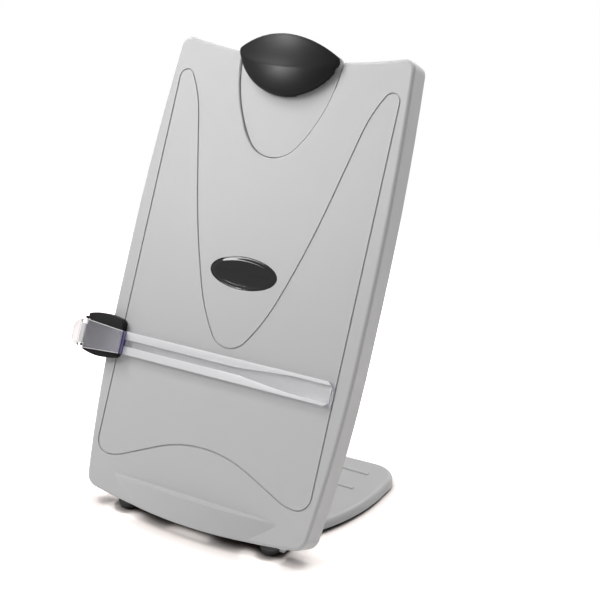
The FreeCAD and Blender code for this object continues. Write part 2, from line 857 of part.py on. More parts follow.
def rear_cover():
    """Plate that closes the upper part of the tray and hides the clip carrier's catch."""
    body = new_body("rear_cover")
    inset = s.panel_wall + s.rear_cover_gap
    outside = back + s.rear_cover_thick
    pad(body, "plate", "XY_Plane", back, outside, lambda sketch: panel_outline(sketch, inset))
    wide = half_width + 1
    pocket_box(body, "below", (-wide, wide), (-(s.panel_drop + 1), cover_low_edge), (back - 1, outside + 1))
    corner_x = top_half_width.value - inset.value - 3
    round_edges(body, "top_corners", lambda edge: is_upright(edge) and abs(middle(edge).x) > corner_x
                and middle(edge).y > straight_high.value + 1, s.top_corner - s.panel_wall)
    lip = cover_low_edge + s.rear_cover_thick
    half = half_width - inset - 1
    pad_box(body, "shelf", (-half, half), (cover_low_edge, lip), (outside - 0.5, inner - s.rear_cover_gap))
    for level, height in posts_at.items():
        both_sides(lambda side: screw_seat(body, level + ("_left" if side < 0 else "_right"),
                                           side * post_half, height, back, outside))
    keep("rear_cover", body, panel=True)


def screw_seat(body, tag, x, y, low, high):
    """Clearance hole and a sunk seat for a screw head, opening towards low."""
    pocket(body, "hole_" + tag, "XY_Plane", low - 1, high + 1,
           lambda sketch: disc(sketch, x, y, s.screw / 2 + 0.2))
    pocket(body, "seat_" + tag, "XY_Plane", low - 1, low + s.screw_head_thick,
           lambda sketch: disc(sketch, x, y, s.screw_head / 2 + 0.2))


def screw_set(label, places, head_low, shank_high, panel):
    """Pan-head screws that point along +Z, one at each place."""
    pieces = []
    for number, (x, y) in enumerate(places, start=1):
        x, y = Dim.of(x), Dim.of(y)
        head = doc.addObject("Part::Cylinder", "{}_head_{}".format(label, number))
        head.setExpression("Radius", (s.screw_head / 2).text)
        head.setExpression("Height", s.screw_head_thick.text)
        shank = doc.addObject("Part::Cylinder", "{}_shank_{}".format(label, number))
        shank.setExpression("Radius", (s.screw / 2 - s.press_fit).text)
        shank.setExpression("Height", (shank_high - head_low).text)
        slot = doc.addObject("Part::Box", "{}_slot_{}".format(label, number))
        slot.setExpression("Length", (s.screw_head * 0.8).text)
        slot.setExpression("Width", (s.screw_head * 0.16).text)
        slot.setExpression("Height", (s.screw_head_thick / 2).text)
        for piece, shift_x, shift_y in (
                (head, 0, 0), (shank, 0, 0), (slot, s.screw_head * 0.4, s.screw_head * 0.08)):
            piece.setExpression("Placement.Base.x", (x - shift_x).text)
            piece.setExpression("Placement.Base.y", (y - shift_y).text)
            piece.setExpression("Placement.Base.z", head_low.text)
        screw = doc.addObject("Part::MultiFuse", "{}_{}".format(label, number))
        screw.Shapes = [head, shank]
        slotted = doc.addObject("Part::Cut", "{}_slotted_{}".format(label, number))
        slotted.Base = screw
        slotted.Tool = slot
        pieces.append(slotted)
    group = doc.addObject("Part::Compound", label)
    group.Links = pieces
    doc.recompute()
    keep(label, group, panel=panel)


# ---------------------------------------------------------------- clip carrier and clip

def clip_carrier():
    """Tongue-shaped plate that slides in the panel and holds the clip's pin."""
    body = new_body("clip_carrier")
    half, corner_x, corner_y, radius, flank = tongue_sides(Dim.of(0))
    crown = arc_radius(half, s.tongue_crown)

    def plate(sketch):
        outline(sketch, [
            (-corner_x, corner_y, radius),
            (corner_x, corner_y, flank),
            (half, tongue_shoulder, crown),
            (-half, tongue_shoulder, flank),
        ])

    low = tongue_face - s.tongue_thick
    pad(body, "plate", "XY_Plane", low, tongue_face, plate)
    round_edges(body, "corners", lambda edge: is_upright(edge)
                and middle(edge).y > tongue_shoulder.value - 1, s.tongue_corner)
    top = face + s.clip_pin_height
    for side in (-1, 1):
        tag = "left" if side < 0 else "right"
        near, far = side_range(side, s.clip_ear_in, s.clip_ear_in + s.clip_ear_thick)

        def ear(sketch):
            wide = s.clip_ear_round
            box_outline(sketch, clip_pin_at - wide, clip_pin_at + wide, tongue_face - 0.5, top)

        pad(body, "ear_" + tag, "YZ_Plane", near, far, ear)
        pad(body, "ear_round_" + tag, "YZ_Plane", near, far,
            lambda sketch: disc(sketch, clip_pin_at, top, s.clip_ear_round))
    wide = s.clip_ear_in + s.clip_ear_thick + 1
    pocket(body, "pin_bore", "YZ_Plane", -wide, wide,
           lambda sketch: disc(sketch, clip_pin_at, top, s.clip_pin / 2 + s.press_fit))
    stem_end = floor_back - s.catch_gap
    pad_box(body, "stem", (-s.carrier_stem_half, s.carrier_stem_half),
            (stem_low, stem_high), (stem_end, low + 0.5))
    middle_y = (stem_low + stem_high) / 2
    pocket(body, "stem_pilot", "XY_Plane", stem_end - 1, low,
           lambda sketch: disc(sketch, 0, middle_y, s.screw / 2))
    keep("clip_carrier", body, panel=True)


def carrier_catch():
    """Plate behind the channel floor that keeps the carrier in its slot."""
    body = new_body("carrier_catch")
    high = floor_back - s.catch_gap
    low = high - s.catch_thick
    pad_box(body, "plate", (-s.catch_half, s.catch_half),
            (stem_low - s.catch_margin, stem_high + s.catch_margin), (low, high))
    middle_y = (stem_low + stem_high) / 2
    pocket(body, "hole", "XY_Plane", low - 1, high + 1,
           lambda sketch: disc(sketch, 0, middle_y, s.screw / 2 + 0.2))
    keep("carrier_catch", body, panel=True)
    screw_set("carrier_catch_screw", [(0, middle_y)], low - s.screw_head_thick,
              tongue_face - s.tongue_thick - 0.2, panel=True)


def carrier_brake_springs():
    """Two bowed leaves between catch and channel floor that hold the carrier at any height."""
    body = new_body("carrier_brake_springs")
    seat = floor_back - s.catch_gap
    half_run = s.carrier_stem_length / 2
    rise = s.catch_gap - s.slide_gap - s.brake_leaf
    bow = arc_radius(half_run, rise)

    def leaf(sketch):
        outline(sketch, [
            (stem_high, seat, bow),
            (stem_low, seat),
            (stem_low, seat + s.brake_leaf, -bow),
            (stem_high, seat + s.brake_leaf),
        ])

    for side in (-1, 1):
        near, far = side_range(side, s.carrier_stem_half + 0.8, s.catch_half - 0.4)
        pad(body, "leaf_left" if side < 0 else "leaf_right", "YZ_Plane", near, far, leaf)
    keep("carrier_brake_springs", body, panel=True)


def clip_lever():
    """Almond-shaped lever: domed jaw below, dished thumb pad above, hollow for pin and spring."""
    body = new_body("clip_lever")
    half = s.clip_half
    ridge = clip_pin_at - s.clip_ridge_drop
    lip_z = tongue_face + s.clip_lip_height
    ridge_z = face + s.clip_ridge_height
    top_z = face + s.clip_top_height
    back_z = face + s.clip_back_height
    below, above = clip_lip - 10, clip_top + 10

    # the pad: a dish in the side view, turned about a far axis so that it falls away to both ends
    fall = arc_radius(half, s.clip_end_drop)
    axis_height = top_z - fall
    sketch = new_sketch(body, "pad_sketch", "YZ_Plane", Dim.of(0))
    sketch.AttachmentOffset.Base = Vector(0, axis_height.value, 0)
    sketch.setExpression("AttachmentOffset.Base.y", axis_height.text)
    low = fall - s.clip_top_height - s.clip_end_drop
    outline(sketch, [(below, low), (above, low), (above, fall), (clip_top, fall, -s.clip_pad_dish),
                     (ridge - 8, ridge_z - axis_height + 0.7), (below, ridge_z - axis_height + 3)])
    turned = body.newObject("PartDesign::Revolution", "clip_lever_pad")
    turned.Profile = sketch
    turned.ReferenceAxis = (sketch, ["H_Axis"])
    sweep = 2.4 * arcsine(half / fall)
    turned.Angle = sweep.value
    turned.setExpression("Angle", sweep.text)
    turned.Midplane = True
    doc.recompute()

    # the jaw: a dome about an axis square to the panel
    jaw_centre = clip_lip + s.clip_jaw_round
    sketch = new_sketch(body, "jaw_sketch", "YZ_Plane", Dim.of(0))
    sketch.AttachmentOffset.Base = Vector(jaw_centre.value, 0, 0)
    sketch.setExpression("AttachmentOffset.Base.x", jaw_centre.text)
    outer = -(s.clip_jaw_round + half)
    outline(sketch, [
        (-s.clip_jaw_round, face - 20),
        (-s.clip_jaw_round, lip_z + s.clip_lip_thick, -s.clip_rim_round),
        (-s.clip_jaw_round + s.clip_rim_width, ridge_z - s.clip_jaw_fall, -s.clip_jaw_bulge),
        (ridge - jaw_centre, ridge_z),
        (ridge - jaw_centre, top_z + 10),
        (outer, top_z + 10),
        (outer, face - 20),
    ])
    dome = body.newObject("PartDesign::Groove", "clip_lever_jaw")
    dome.Profile = sketch
    dome.ReferenceAxis = (sketch, ["V_Axis"])
    dome.Angle = 360
    doc.recompute()

    def outside_top(sketch):
        wide = s.clip_top_round + 15
        centre = clip_top - s.clip_top_round
        box_outline(sketch, -wide, wide, centre - wide, centre + wide)
        disc(sketch, 0, centre, s.clip_top_round)

    pocket(body, "top_outline", "XY_Plane", face - 20, top_z + 5, outside_top)
    end_low, end_high = clip_pin_at - s.clip_end_low, clip_pin_at + s.clip_end_high
    bulge = arc_radius((end_high - end_low) / 2, s.clip_end_bulge)

    def outside_end(side):
        inside, outside = side * (half - s.clip_end_bulge), side * (half + 20)
        pocket(body, "end_left" if side < 0 else "end_right", "XY_Plane", face - 20, top_z + 5,
               lambda sketch: outline(sketch, [(inside, end_low, side * bulge), (inside, end_high), (inside, above),
                                               (outside, above), (outside, below), (inside, below)]))

    both_sides(outside_end)
    heel = clip_pin_at + 5

    def below_lever(sketch):
        outline(sketch, [
            (below, face - 20),
            (below, lip_z),
            (clip_lip + 2, lip_z),
            (clip_lip + 2, back_z),
            (heel, back_z),
            (clip_top, top_z - s.clip_top_thick),
            (above, top_z - s.clip_top_thick),
            (above, face - 20),
        ])

    pocket(body, "underside", "YZ_Plane", -(half + 1), half + 1, below_lever)
    pin_height = face + s.clip_pin_height
    hollow = s.clip_hollow_half
    ceiling = pin_height + s.clip_ear_round + 0.6
    pocket_box(body, "hollow", (-hollow, hollow), (clip_pin_at - 10, clip_pin_at + 8), (face, ceiling))
    for side in (-1, 1):
        tag = "left" if side < 0 else "right"
        first = s.clip_ear_in + s.clip_ear_thick + 0.4
        near, far = side_range(side, first, first + s.clip_lug_thick)
        pad(body, "lug_" + tag, "YZ_Plane", near, far,
            lambda sketch: disc(sketch, clip_pin_at, pin_height, s.clip_ear_round + 0.4))
        pad(body, "lug_web_" + tag, "YZ_Plane", near, far, lambda sketch: box_outline(
            sketch, clip_pin_at - 3, clip_pin_at + 3, pin_height, ceiling + 0.5))
    pocket(body, "bore", "YZ_Plane", -(hollow + 2), hollow + 2,
           lambda sketch: disc(sketch, clip_pin_at, pin_height, s.clip_pin / 2 + s.running_fit))
    keep("clip_lever", body, panel=True)


def clip_pin():
    half = s.clip_ear_in + s.clip_ear_thick + 0.4 + s.clip_lug_thick
    pin = doc.addObject("Part::Cylinder", "clip_pin_rod")
    pin.setExpression("Radius", (s.clip_pin / 2).text)
    pin.setExpression("Height", (half * 2).text)
    pin.Placement = FreeCAD.Placement(Vector(0, 0, 0), FreeCAD.Rotation(Y_AXIS, 90))
    pin.setExpression("Placement.Base.x", (-half).text)
    pin.setExpression("Placement.Base.y", clip_pin_at.text)
    pin.setExpression("Placement.Base.z", (face + s.clip_pin_height).text)
    group = doc.addObject("Part::Compound", "clip_pin")
    group.Links = [pin]
    keep("clip_pin", group, panel=True)


def coil(label, radius, wire, pitch, length, start, axis, panel):
    """Round-wire coil spring whose axis runs from start along the given axis."""
    helix = doc.addObject("Part::Helix", label + "_helix")
    helix.setExpression("Radius", radius.text)
    helix.setExpression("Pitch", pitch.text)
    helix.setExpression("Height", length.text)
    profile = doc.addObject("Part::Circle", label + "_wire")
    profile.setExpression("Radius", (wire / 2).text)
    profile.Placement = FreeCAD.Placement(Vector(0, 0, 0), FreeCAD.Rotation(X_AXIS, 90))
    profile.setExpression("Placement.Base.x", radius.text)
    doc.recompute()
    sweep = doc.addObject("Part::Sweep", label + "_sweep")
    sweep.Sections = [profile]
    sweep.Spine = helix
    sweep.Solid = True
    sweep.Frenet = True
    turn = FreeCAD.Rotation(Y_AXIS, 90) if axis == "x" else FreeCAD.Rotation(X_AXIS, -90)
    sweep.Placement = FreeCAD.Placement(Vector(0, 0, 0), turn)
    for letter, place in zip("xyz", start):
        sweep.setExpression("Placement.Base." + letter, Dim.of(place).text)
    group = doc.addObject("Part::Compound", label)
    group.Links = [sweep]
    doc.recompute()
    keep(label, group, panel=panel)


def grip_pad():
    """Rubber strip under the jaw."""
    body = new_body("clip_grip_pad")
    low = clip_lip + s.grip_setback
    pad_box(body, "strip", (-s.grip_half, s.grip_half), (low, low + s.grip_length),
            (tongue_face + 0.3, face + s.clip_back_height))
    keep("clip_grip_pad", body, panel=True)


# ---------------------------------------------------------------- hinge

def hinge_hardware():
    """Pins, friction washers and retaining rings of the two hinges."""
    head_in = s.ear_in - s.pin_head_thick
    tail = far_ear_out + s.ring_thick + s.pin_tail
    pins = new_body("hinge_pins")
    rings = new_body("hinge_rings")
    washers = new_body("hinge_washers")

    def washer(sketch):
        disc(sketch, 0, s.hinge_height, s.washer_round)
        disc(sketch, 0, s.hinge_height, s.hinge_pin / 2 + s.running_fit)

    def ring(sketch):
        disc(sketch, 0, s.hinge_height, s.ring_round)
        disc(sketch, 0, s.hinge_height, s.hinge_pin / 2)

    for side in (-1, 1):
        tag = "left" if side < 0 else "right"
        low, high = side_range(side, s.ear_in - 0.2, tail)
        pad(pins, "shank_" + tag, "YZ_Plane", low, high,
            lambda sketch: disc(sketch, 0, s.hinge_height, s.hinge_pin / 2))
        low, high = side_range(side, head_in, s.ear_in)
        pad(pins, "head_" + tag, "YZ_Plane", low, high,
            lambda sketch: disc(sketch, 0, s.hinge_height, s.pin_head))
        low, high = side_range(side, far_ear_out, far_ear_out + s.ring_thick)
        pad(rings, "ring_" + tag, "YZ_Plane", low, high, ring)
        for place, first in (("near", ear_out + s.washer_slack), ("far", lug_out + s.washer_slack)):
            low, high = side_range(side, first, first + s.washer_thick)
            pad(washers, place + "_" + tag, "YZ_Plane", low, high, washer)
    keep("hinge_pins", pins)
    keep("hinge_rings", rings)
    keep("hinge_washers", washers)


# ---------------------------------------------------------------- base

def base_outline(sketch, inset, front):
    """Plan of the base: slim at the hinge, widest behind the panel, hollowed back edge."""
    half = base_half - inset
    neck = neck_half - inset
    back_edge = s.base_back - inset
    widest = s.base_back - s.base_straight
    side = arc_radius(widest - s.base_neck, half - neck)
    rear = arc_radius(half, s.base_back_dip)
    outline(sketch, [
        (-neck, front),
        (neck, front),
        (neck, s.base_neck, side),
        (half, widest),
        (half, back_edge, -rear),
        (-half, back_edge),
        (-half, widest, side),
        (-neck, s.base_neck),
    ])


def base_shell():
    """Weighted foot: shell with rounded rim, ribs, hinge ears and two toes for the front feet."""
    body = new_body("base_shell")
    top = s.base_top
    pad(body, "block", "XY_Plane", Dim.of(0), top, lambda sketch: base_outline(sketch, Dim.of(0), Dim.of(0)))
    ceiling = top - s.base_wall
    pocket(body, "cavity", "XY_Plane", Dim.of(-1), ceiling,
           lambda sketch: base_outline(sketch, s.base_wall, s.base_cavity_front))
    back_corner = base_half.value - 1

    def at_back(edge):
        return is_upright(edge) and middle(edge).y > s.base_back.value - 8

    round_edges(body, "back_corners", lambda edge: at_back(edge) and abs(middle(edge).x) > back_corner,
                s.base_corner)
    round_edges(body, "cavity_corners", lambda edge: at_back(edge)
                and back_corner - s.base_wall.value < abs(middle(edge).x) < back_corner,
                s.base_corner - s.base_wall)
    round_edges(body, "rim", lambda edge: edge.BoundBox.ZLength < 0.001
                and abs(middle(edge).z - s.base_top.value) < 0.001 and middle(edge).y > 1, s.base_top_round)
    wide = base_half + 5
    behind = s.base_back + 5
    pocket_box(body, "front_step", (-wide, wide), (-1, s.base_step), (s.base_step_top, top + 1))

    def below_rim(sketch):
        outline(sketch, [(-20, s.base_rim_front), (0, s.base_rim_front), (behind, s.base_rim_back),
                         (behind, -1), (-20, -1)])

    pocket(body, "underside", "YZ_Plane", -wide, wide, below_rim)
    rib_half = base_half - s.rib_side_inset
    for name, inset in (("first", s.rib_first_inset), ("second", s.rib_second_inset)):
        place = s.base_back - inset
        rise = s.rib_height + 0.5
        crown = arc_radius(s.rib_width / 2, rise)

        def rib(sketch):
            outline(sketch, [(place + s.rib_width / 2, top - 0.5, crown),
                             (place - s.rib_width / 2, top - 0.5)])

        pad(body, "rib_" + name, "YZ_Plane", -rib_half, rib_half, rib)
    for side in (-1, 1):
        hinge_ears(body, side)
        base_toe(body, side)
    for name, place in (("front", s.base_boss_front), ("back", boss_back)):
        both_sides(lambda side: base_boss(body, side, name, place))
    keep("base_shell", body)


def hinge_ears(body, side):
    """Two ears that hold the hinge pin on either side of the panel's lug."""
    hand = "left" if side < 0 else "right"
    for name, first, last in (("near", s.ear_in, ear_out), ("far", far_ear_in, far_ear_out)):
        low, high = side_range(side, first, last)
        tag = name + "_" + hand

        def web(sketch):
            outline(sketch, [
                (-s.hinge_round + 0.8, s.base_step_top - 1),
                (s.base_cavity_front, s.base_step_top - 1),
                (s.base_cavity_front, s.base_top - 0.5),
                (s.hinge_round - 1, s.hinge_height + 2.5),
                (-s.hinge_round + 0.8, s.hinge_height),
            ])

        pad(body, "ear_web_" + tag, "YZ_Plane", low, high, web)
        pad(body, "ear_" + tag, "YZ_Plane", low, high,
            lambda sketch: disc(sketch, 0, s.hinge_height, s.hinge_round))
        low, high = side_range(side, first - 1, last + 1)
        pocket(body, "ear_bore_" + tag, "YZ_Plane", low, high,
               lambda sketch: disc(sketch, 0, s.hinge_height, s.hinge_pin / 2 + s.press_fit))


def base_toe(body, side):
    """Flat toe in front of the hinge that the rubber foot is pushed over."""
    pad_box(body, "toe_left" if side < 0 else "toe_right",
            side_range(side, s.foot_side - s.toe_half, s.foot_side + s.toe_half),
            (-s.toe_reach, 2), (s.toe_low, s.toe_high))


def base_boss(body, side, name, place):
    tag = name + ("_left" if side < 0 else "_right")
    cover_top = s.cover_low + s.cover_thick
    pad(body, "boss_" + tag, "XY_Plane", cover_top, s.base_top - 1,
        lambda sketch: disc(sketch, side * boss_half, place, s.base_boss_round))
    pocket(body, "boss_pilot_" + tag, "XY_Plane", cover_top - 1, s.base_top - 2,
           lambda sketch: disc(sketch, side * boss_half, place, s.screw / 2))


def base_cover():
    """Plate that closes the base from below."""
    body = new_body("base_cover")
    inset = s.base_wall + s.cover_gap
    low, high = s.cover_low, s.cover_low + s.cover_thick
    pad(body, "plate", "XY_Plane", low, high,
        lambda sketch: base_outline(sketch, inset, s.base_cavity_front + s.cover_gap))
    corner_x = base_half.value - inset.value - 1
    round_edges(body, "corners", lambda edge: is_upright(edge) and abs(middle(edge).x) > corner_x
                and middle(edge).y > s.base_back.value - 8, s.base_corner - s.base_wall)
    for name, place in (("front", s.base_boss_front), ("back", boss_back)):
        both_sides(lambda side: screw_seat(body, name + ("_left" if side < 0 else "_right"),
                                           side * boss_half, place, low, high))
    keep("base_cover", body)
    places = [(side * boss_half, place) for side in (-1, 1)
              for place in (s.base_boss_front, boss_back)]
    screw_set("base_cover_screws", places, low, s.base_top - 2.4, panel=False)


def ballast_plate():
    body = new_body("ballast_plate")
    low = s.cover_low + s.cover_thick
    half = boss_half - s.base_boss_round - s.ballast_gap
    pad_box(body, "slab", (-half, half), (s.ballast_front, boss_back), (low, low + s.ballast_thick))
    keep("ballast_plate", body)


def front_feet():
    """Round rubber feet that taper to the desk; each is pushed over a toe and runs on under the base."""
    body = new_body("front_feet")
    rise = s.foot_height
    flare = arc_radius(rise, s.foot_round - s.foot_sole)
    for side in (-1, 1):
        tag = "left" if side < 0 else "right"
        centre = side * s.foot_side
        sketch = new_sketch(body, "turned_" + tag + "_sketch", "XZ_Plane", -s.foot_back)
        sketch.AttachmentOffset.Base = Vector(centre.value, 0, sketch.AttachmentOffset.Base.z)
        sketch.setExpression("AttachmentOffset.Base.x", centre.text)
        outline(sketch, [(0, 0), (s.foot_sole, 0, flare), (s.foot_round, rise), (0, rise)])
        foot = body.newObject("PartDesign::Revolution", "front_feet_turned_" + tag)
        foot.Profile = sketch
        foot.ReferenceAxis = (sketch, ["V_Axis"])
        foot.Angle = 360
        doc.recompute()
    wide = s.foot_side + s.foot_round + 1
    pocket_box(body, "under_base", (-wide, wide), (-s.foot_gap, s.foot_back + s.foot_round + 1),
               (s.base_rim_front - s.foot_gap, rise + 1))
    for side in (-1, 1):
        half = s.toe_half + s.press_fit
        pocket_box(body, "toe_pocket_left" if side < 0 else "toe_pocket_right",
                   side_range(side, s.foot_side - half, s.foot_side + half),
                   (-(s.toe_reach + s.press_fit), 3), (s.toe_low - s.press_fit, s.toe_high + s.press_fit))
    keep("front_feet", body)


def rear_feet():
    pieces = []
    for side in (-1, 1):
        foot = doc.addObject("Part::Cylinder", "rear_foot_left" if side < 0 else "rear_foot_right")
        foot.setExpression("Radius", s.back_foot_round.text)
        foot.setExpression("Height", s.cover_low.text)
        foot.setExpression("Placement.Base.x", (side * (base_half - s.back_foot_side_inset)).text)
        foot.setExpression("Placement.Base.y", (s.base_back - s.back_foot_inset).text)
        pieces.append(foot)
    group = doc.addObject("Part::Compound", "rear_feet")
    group.Links = pieces
    keep("rear_feet", group)


# ---------------------------------------------------------------- slider and line guide

side_inside = half_width + s.slider_bay
jaw_back = face + s.slider_gap
jaw_front = jaw_back + s.slider_jaw
back_plate_front = back - s.slider_gap
plate_low = jaw_front + s.plate_gap
guide_pin_z = plate_low - s.guide_pin_drop


def slider_body():
    """Black block that wraps the panel's left edge; its front is bowed above and below."""
    body = new_body("slider_body")
    left, right = slider_left, slider_right
    mid = s.slider_at
    edge = -side_inside

    def section(sketch):
        outline(sketch, [(left, back_plate_front), (edge, back_plate_front), (edge, jaw_back),
                         (right, jaw_back), (right, jaw_front), (left, jaw_front)])

    pad(body, "section", "XZ_Plane", mid - s.slider_half, mid + s.slider_half, section)
    bow = arc_radius((right - left) / 2, s.slider_half - s.slider_end_half)
    far_left, far_right = left - 5, right + 5
    for name, hand in (("top", 1), ("bottom", -1)):
        end = mid + hand * s.slider_end_half
        beyond = mid + hand * (s.slider_half + 5)

        def trim(sketch):
            outline(sketch, [(right, end, hand * bow), (left, end), (far_left, end), (far_left, beyond),
                             (far_right, beyond), (far_right, end)])

        pocket(body, "bow_" + name, "XY_Plane", back - 2, jaw_front + 1, trim)
    round_edges(body, "right_corners", lambda edge: is_upright(edge)
                and abs(middle(edge).x - right.value) < 0.01, s.slider_wall * 2)
    cavity_left = left + s.slider_wall
    cavity_right = edge - s.slider_wall
    ceiling = jaw_back - 1
    pocket_box(body, "cavity", (cavity_left, cavity_right),
               (mid - s.slider_cavity_half, mid + s.slider_cavity_half), (back_plate_front - 1, ceiling))
    centre_x = (cavity_left + cavity_right) / 2
    for name, place in slider_posts().items():
        pad(body, "post_" + name, "XY_Plane", back_plate_front, ceiling + 0.5,
            lambda sketch: disc(sketch, centre_x, place, s.slider_post_round))
        pocket(body, "pilot_" + name, "XY_Plane", back_plate_front - 1, back_plate_front + 8,
               lambda sketch: disc(sketch, centre_x, place, s.screw / 2))
    add_guide_lugs(body)
    keep("slider_body", body, panel=True)


def slider_posts():
    reach = s.slider_cavity_half - s.slider_post_round + 0.4
    return {"top": s.slider_at + reach, "bottom": s.slider_at - reach}


def guide_bay():
    """Y range that the guide's barrel and its spring take between the slider's lugs."""
    low = guide_at - s.barrel_half - s.guide_gap
    high = guide_at + s.barrel_half + s.spring_bay + s.guide_gap
    return low, high


def add_guide_lugs(body):
    """Room for the guide's barrel at the slider's left corner, between two lugs with the pin's bores."""
    low, high = guide_bay()
    room = s.barrel_round + s.guide_gap
    pin_x = guide_pin_x
    lug_round = s.guide_pin + 0.4
    pocket_box(body, "barrel_room", (slider_left - 1, pin_x + room), (low, high),
               (guide_pin_z - room, jaw_front + 1))
    thick = s.guide_lug_thick
    for name, first, last in (("low", low - thick, low), ("high", high, high + thick)):
        pad(body, "guide_lug_" + name, "XZ_Plane", first, last,
            lambda sketch: disc(sketch, pin_x, guide_pin_z, lug_round))
        pad(body, "guide_lug_web_" + name, "XZ_Plane", first, last, lambda sketch: box_outline(
            sketch, pin_x, pin_x + 4, guide_pin_z - lug_round, guide_pin_z + lug_round - 1))
    pocket(body, "guide_pin_bore", "XZ_Plane", low - thick - 1, high + thick + 1,
           lambda sketch: disc(sketch, pin_x, guide_pin_z, s.guide_pin / 2 + s.press_fit))


def slider_back_plate():
    """Plate screwed behind the slider: its tongue hooks behind the panel's edge."""
    body = new_body("slider_back_plate")
    low = back_plate_front - s.slider_back_thick
    left, right = slider_left, -(base_half + s.slider_fold_gap)
    mid = s.slider_at
    half = s.slider_end_half
    pad_box(body, "plate", (left, right), (mid - half, mid + half), (low, back_plate_front))
    round_edges(body, "corners", lambda edge: is_upright(edge)
                and abs(middle(edge).x - right.value) < 0.01, s.slider_wall)
    centre_x = (left - side_inside) / 2
    for name, place in slider_posts().items():
        pocket(body, "hole_" + name, "XY_Plane", low - 1, back_plate_front + 1,
               lambda sketch: disc(sketch, centre_x, place, s.screw / 2 + 0.2))
        pocket(body, "seat_" + name, "XY_Plane", low - 1, low + s.slider_screw_sink,
               lambda sketch: disc(sketch, centre_x, place, s.screw_head / 2 + 0.2))
    keep("slider_back_plate", body, panel=True)
    places = [(centre_x, place) for place in slider_posts().values()]
    head_low = low + s.slider_screw_sink - s.screw_head_thick
    screw_set("slider_screws", places, head_low, back_plate_front + 7, panel=True)


def slider_brake_spring():
    """Bowed steel leaf between the slider and the panel's edge."""
    body = new_body("slider_brake_spring")
    outer = -side_inside
    half = s.slider_cavity_half - 2
    rise = s.slider_bay - s.brake_leaf - s.slider_gap
    bow = arc_radius(half, rise)
    mid = s.slider_at

    def leaf(sketch):
        outline(sketch, [(outer, mid - half), (outer + s.brake_leaf, mid - half, bow),
                         (outer + s.brake_leaf, mid + half), (outer, mid + half, -bow)])

    pad(body, "leaf", "XY_Plane", Dim.of(-4), Dim.of(6), leaf)
    keep("slider_brake_spring", body, panel=True)


def guide_arm():
    """Clear one-piece guide: finger tab, barrel, plate over the slider, step and channel-shaped bar."""
    body = new_body("guide_arm")
    mid = guide_at
    bar_low = face + s.bar_lift
    plate_high = plate_low + s.plate_thick
    plate_left = slider_left + s.plate_inset
    left, right = slider_right + s.bar_step, half_width - s.bar_inset
    half = s.bar_half
    length = (left - s.step_thick, right)
    pad_box(body, "bar", length, (mid - half, mid + half), (bar_low, bar_low + s.bar_thick))

    slim = right - s.bar_lip_slim

    def lip(hand):
        edge, root, tip = (mid + hand * offset for offset in (half, half - s.bar_lip_root, half - s.bar_lip_tip))
        pad(body, "lip_top" if hand > 0 else "lip_bottom", "XY_Plane", bar_low, bar_low + s.bar_lip,
            lambda sketch: outline(sketch, [
                (length[0], root), (slim - s.bar_lip_taper, root), (slim, tip),
                (right, tip), (right, edge), (length[0], edge)]))

    both_sides(lip)
    round_edges(body, "bar_end", lambda edge: is_upright(edge) and abs(middle(edge).x - right.value) < 0.01
                and abs(abs(middle(edge).y - mid.value) - half.value) < 0.01, s.bar_end_round)
    pad_box(body, "step", (left - s.step_thick, left), (mid - half, mid + half), (bar_low, plate_high))
    pad(body, "plate", "XY_Plane", plate_low, plate_high, lambda sketch: outline(sketch, [
        (plate_left, mid - s.plate_left_half), (left, mid - half),
        (left, mid + half), (plate_left, mid + s.plate_left_half)]))
    add_tab_and_barrel(body, mid, plate_left, plate_high)
    keep("guide_arm", body, panel=True)


def add_tab_and_barrel(body, mid, plate_left, plate_high):
    pin_x = guide_pin_x
    tab_left, tab_root = pin_x - s.tab_reach, pin_x - s.tab_root_reach
    low, high = mid - s.barrel_half, mid + s.barrel_half
    pad(body, "barrel", "XZ_Plane", low, high,
        lambda sketch: disc(sketch, pin_x, guide_pin_z, s.barrel_round))
    pad_box(body, "bridge", (pin_x - 0.5, plate_left + 1), (low, high), (plate_low - 0.2, plate_high))
    pad_box(body, "tab_root", (tab_root, pin_x), (low, high), (plate_low - 0.2, plate_high))
    pad_box(body, "tab", (tab_left, tab_root), (mid - s.tab_half, mid + s.tab_half),
            (plate_low, plate_low + s.plate_thick * 0.7))
    round_edges(body, "tab_corners", lambda edge: is_upright(edge)
                and abs(middle(edge).x - tab_left.value) < 0.01, s.tab_round)
    pocket(body, "bore", "XZ_Plane", low - 1, high + 1,
           lambda sketch: disc(sketch, pin_x, guide_pin_z, s.guide_pin / 2 + s.running_fit))


def guide_pin():
    low, high = guide_bay()
    first, last = low - s.guide_lug_thick, high + s.guide_lug_thick
    pin = doc.addObject("Part::Cylinder", "guide_pin_rod")
    pin.setExpression("Radius", (s.guide_pin / 2).text)
    pin.setExpression("Height", (last - first).text)
    pin.Placement = FreeCAD.Placement(Vector(0, 0, 0), FreeCAD.Rotation(X_AXIS, -90))
    pin.setExpression("Placement.Base.x", guide_pin_x.text)
    pin.setExpression("Placement.Base.y", first.text)
    pin.setExpression("Placement.Base.z", guide_pin_z.text)
    group = doc.addObject("Part::Compound", "guide_pin")
    group.Links = [pin]
    keep("guide_pin", group, panel=True)


# ---------------------------------------------------------------- build and write

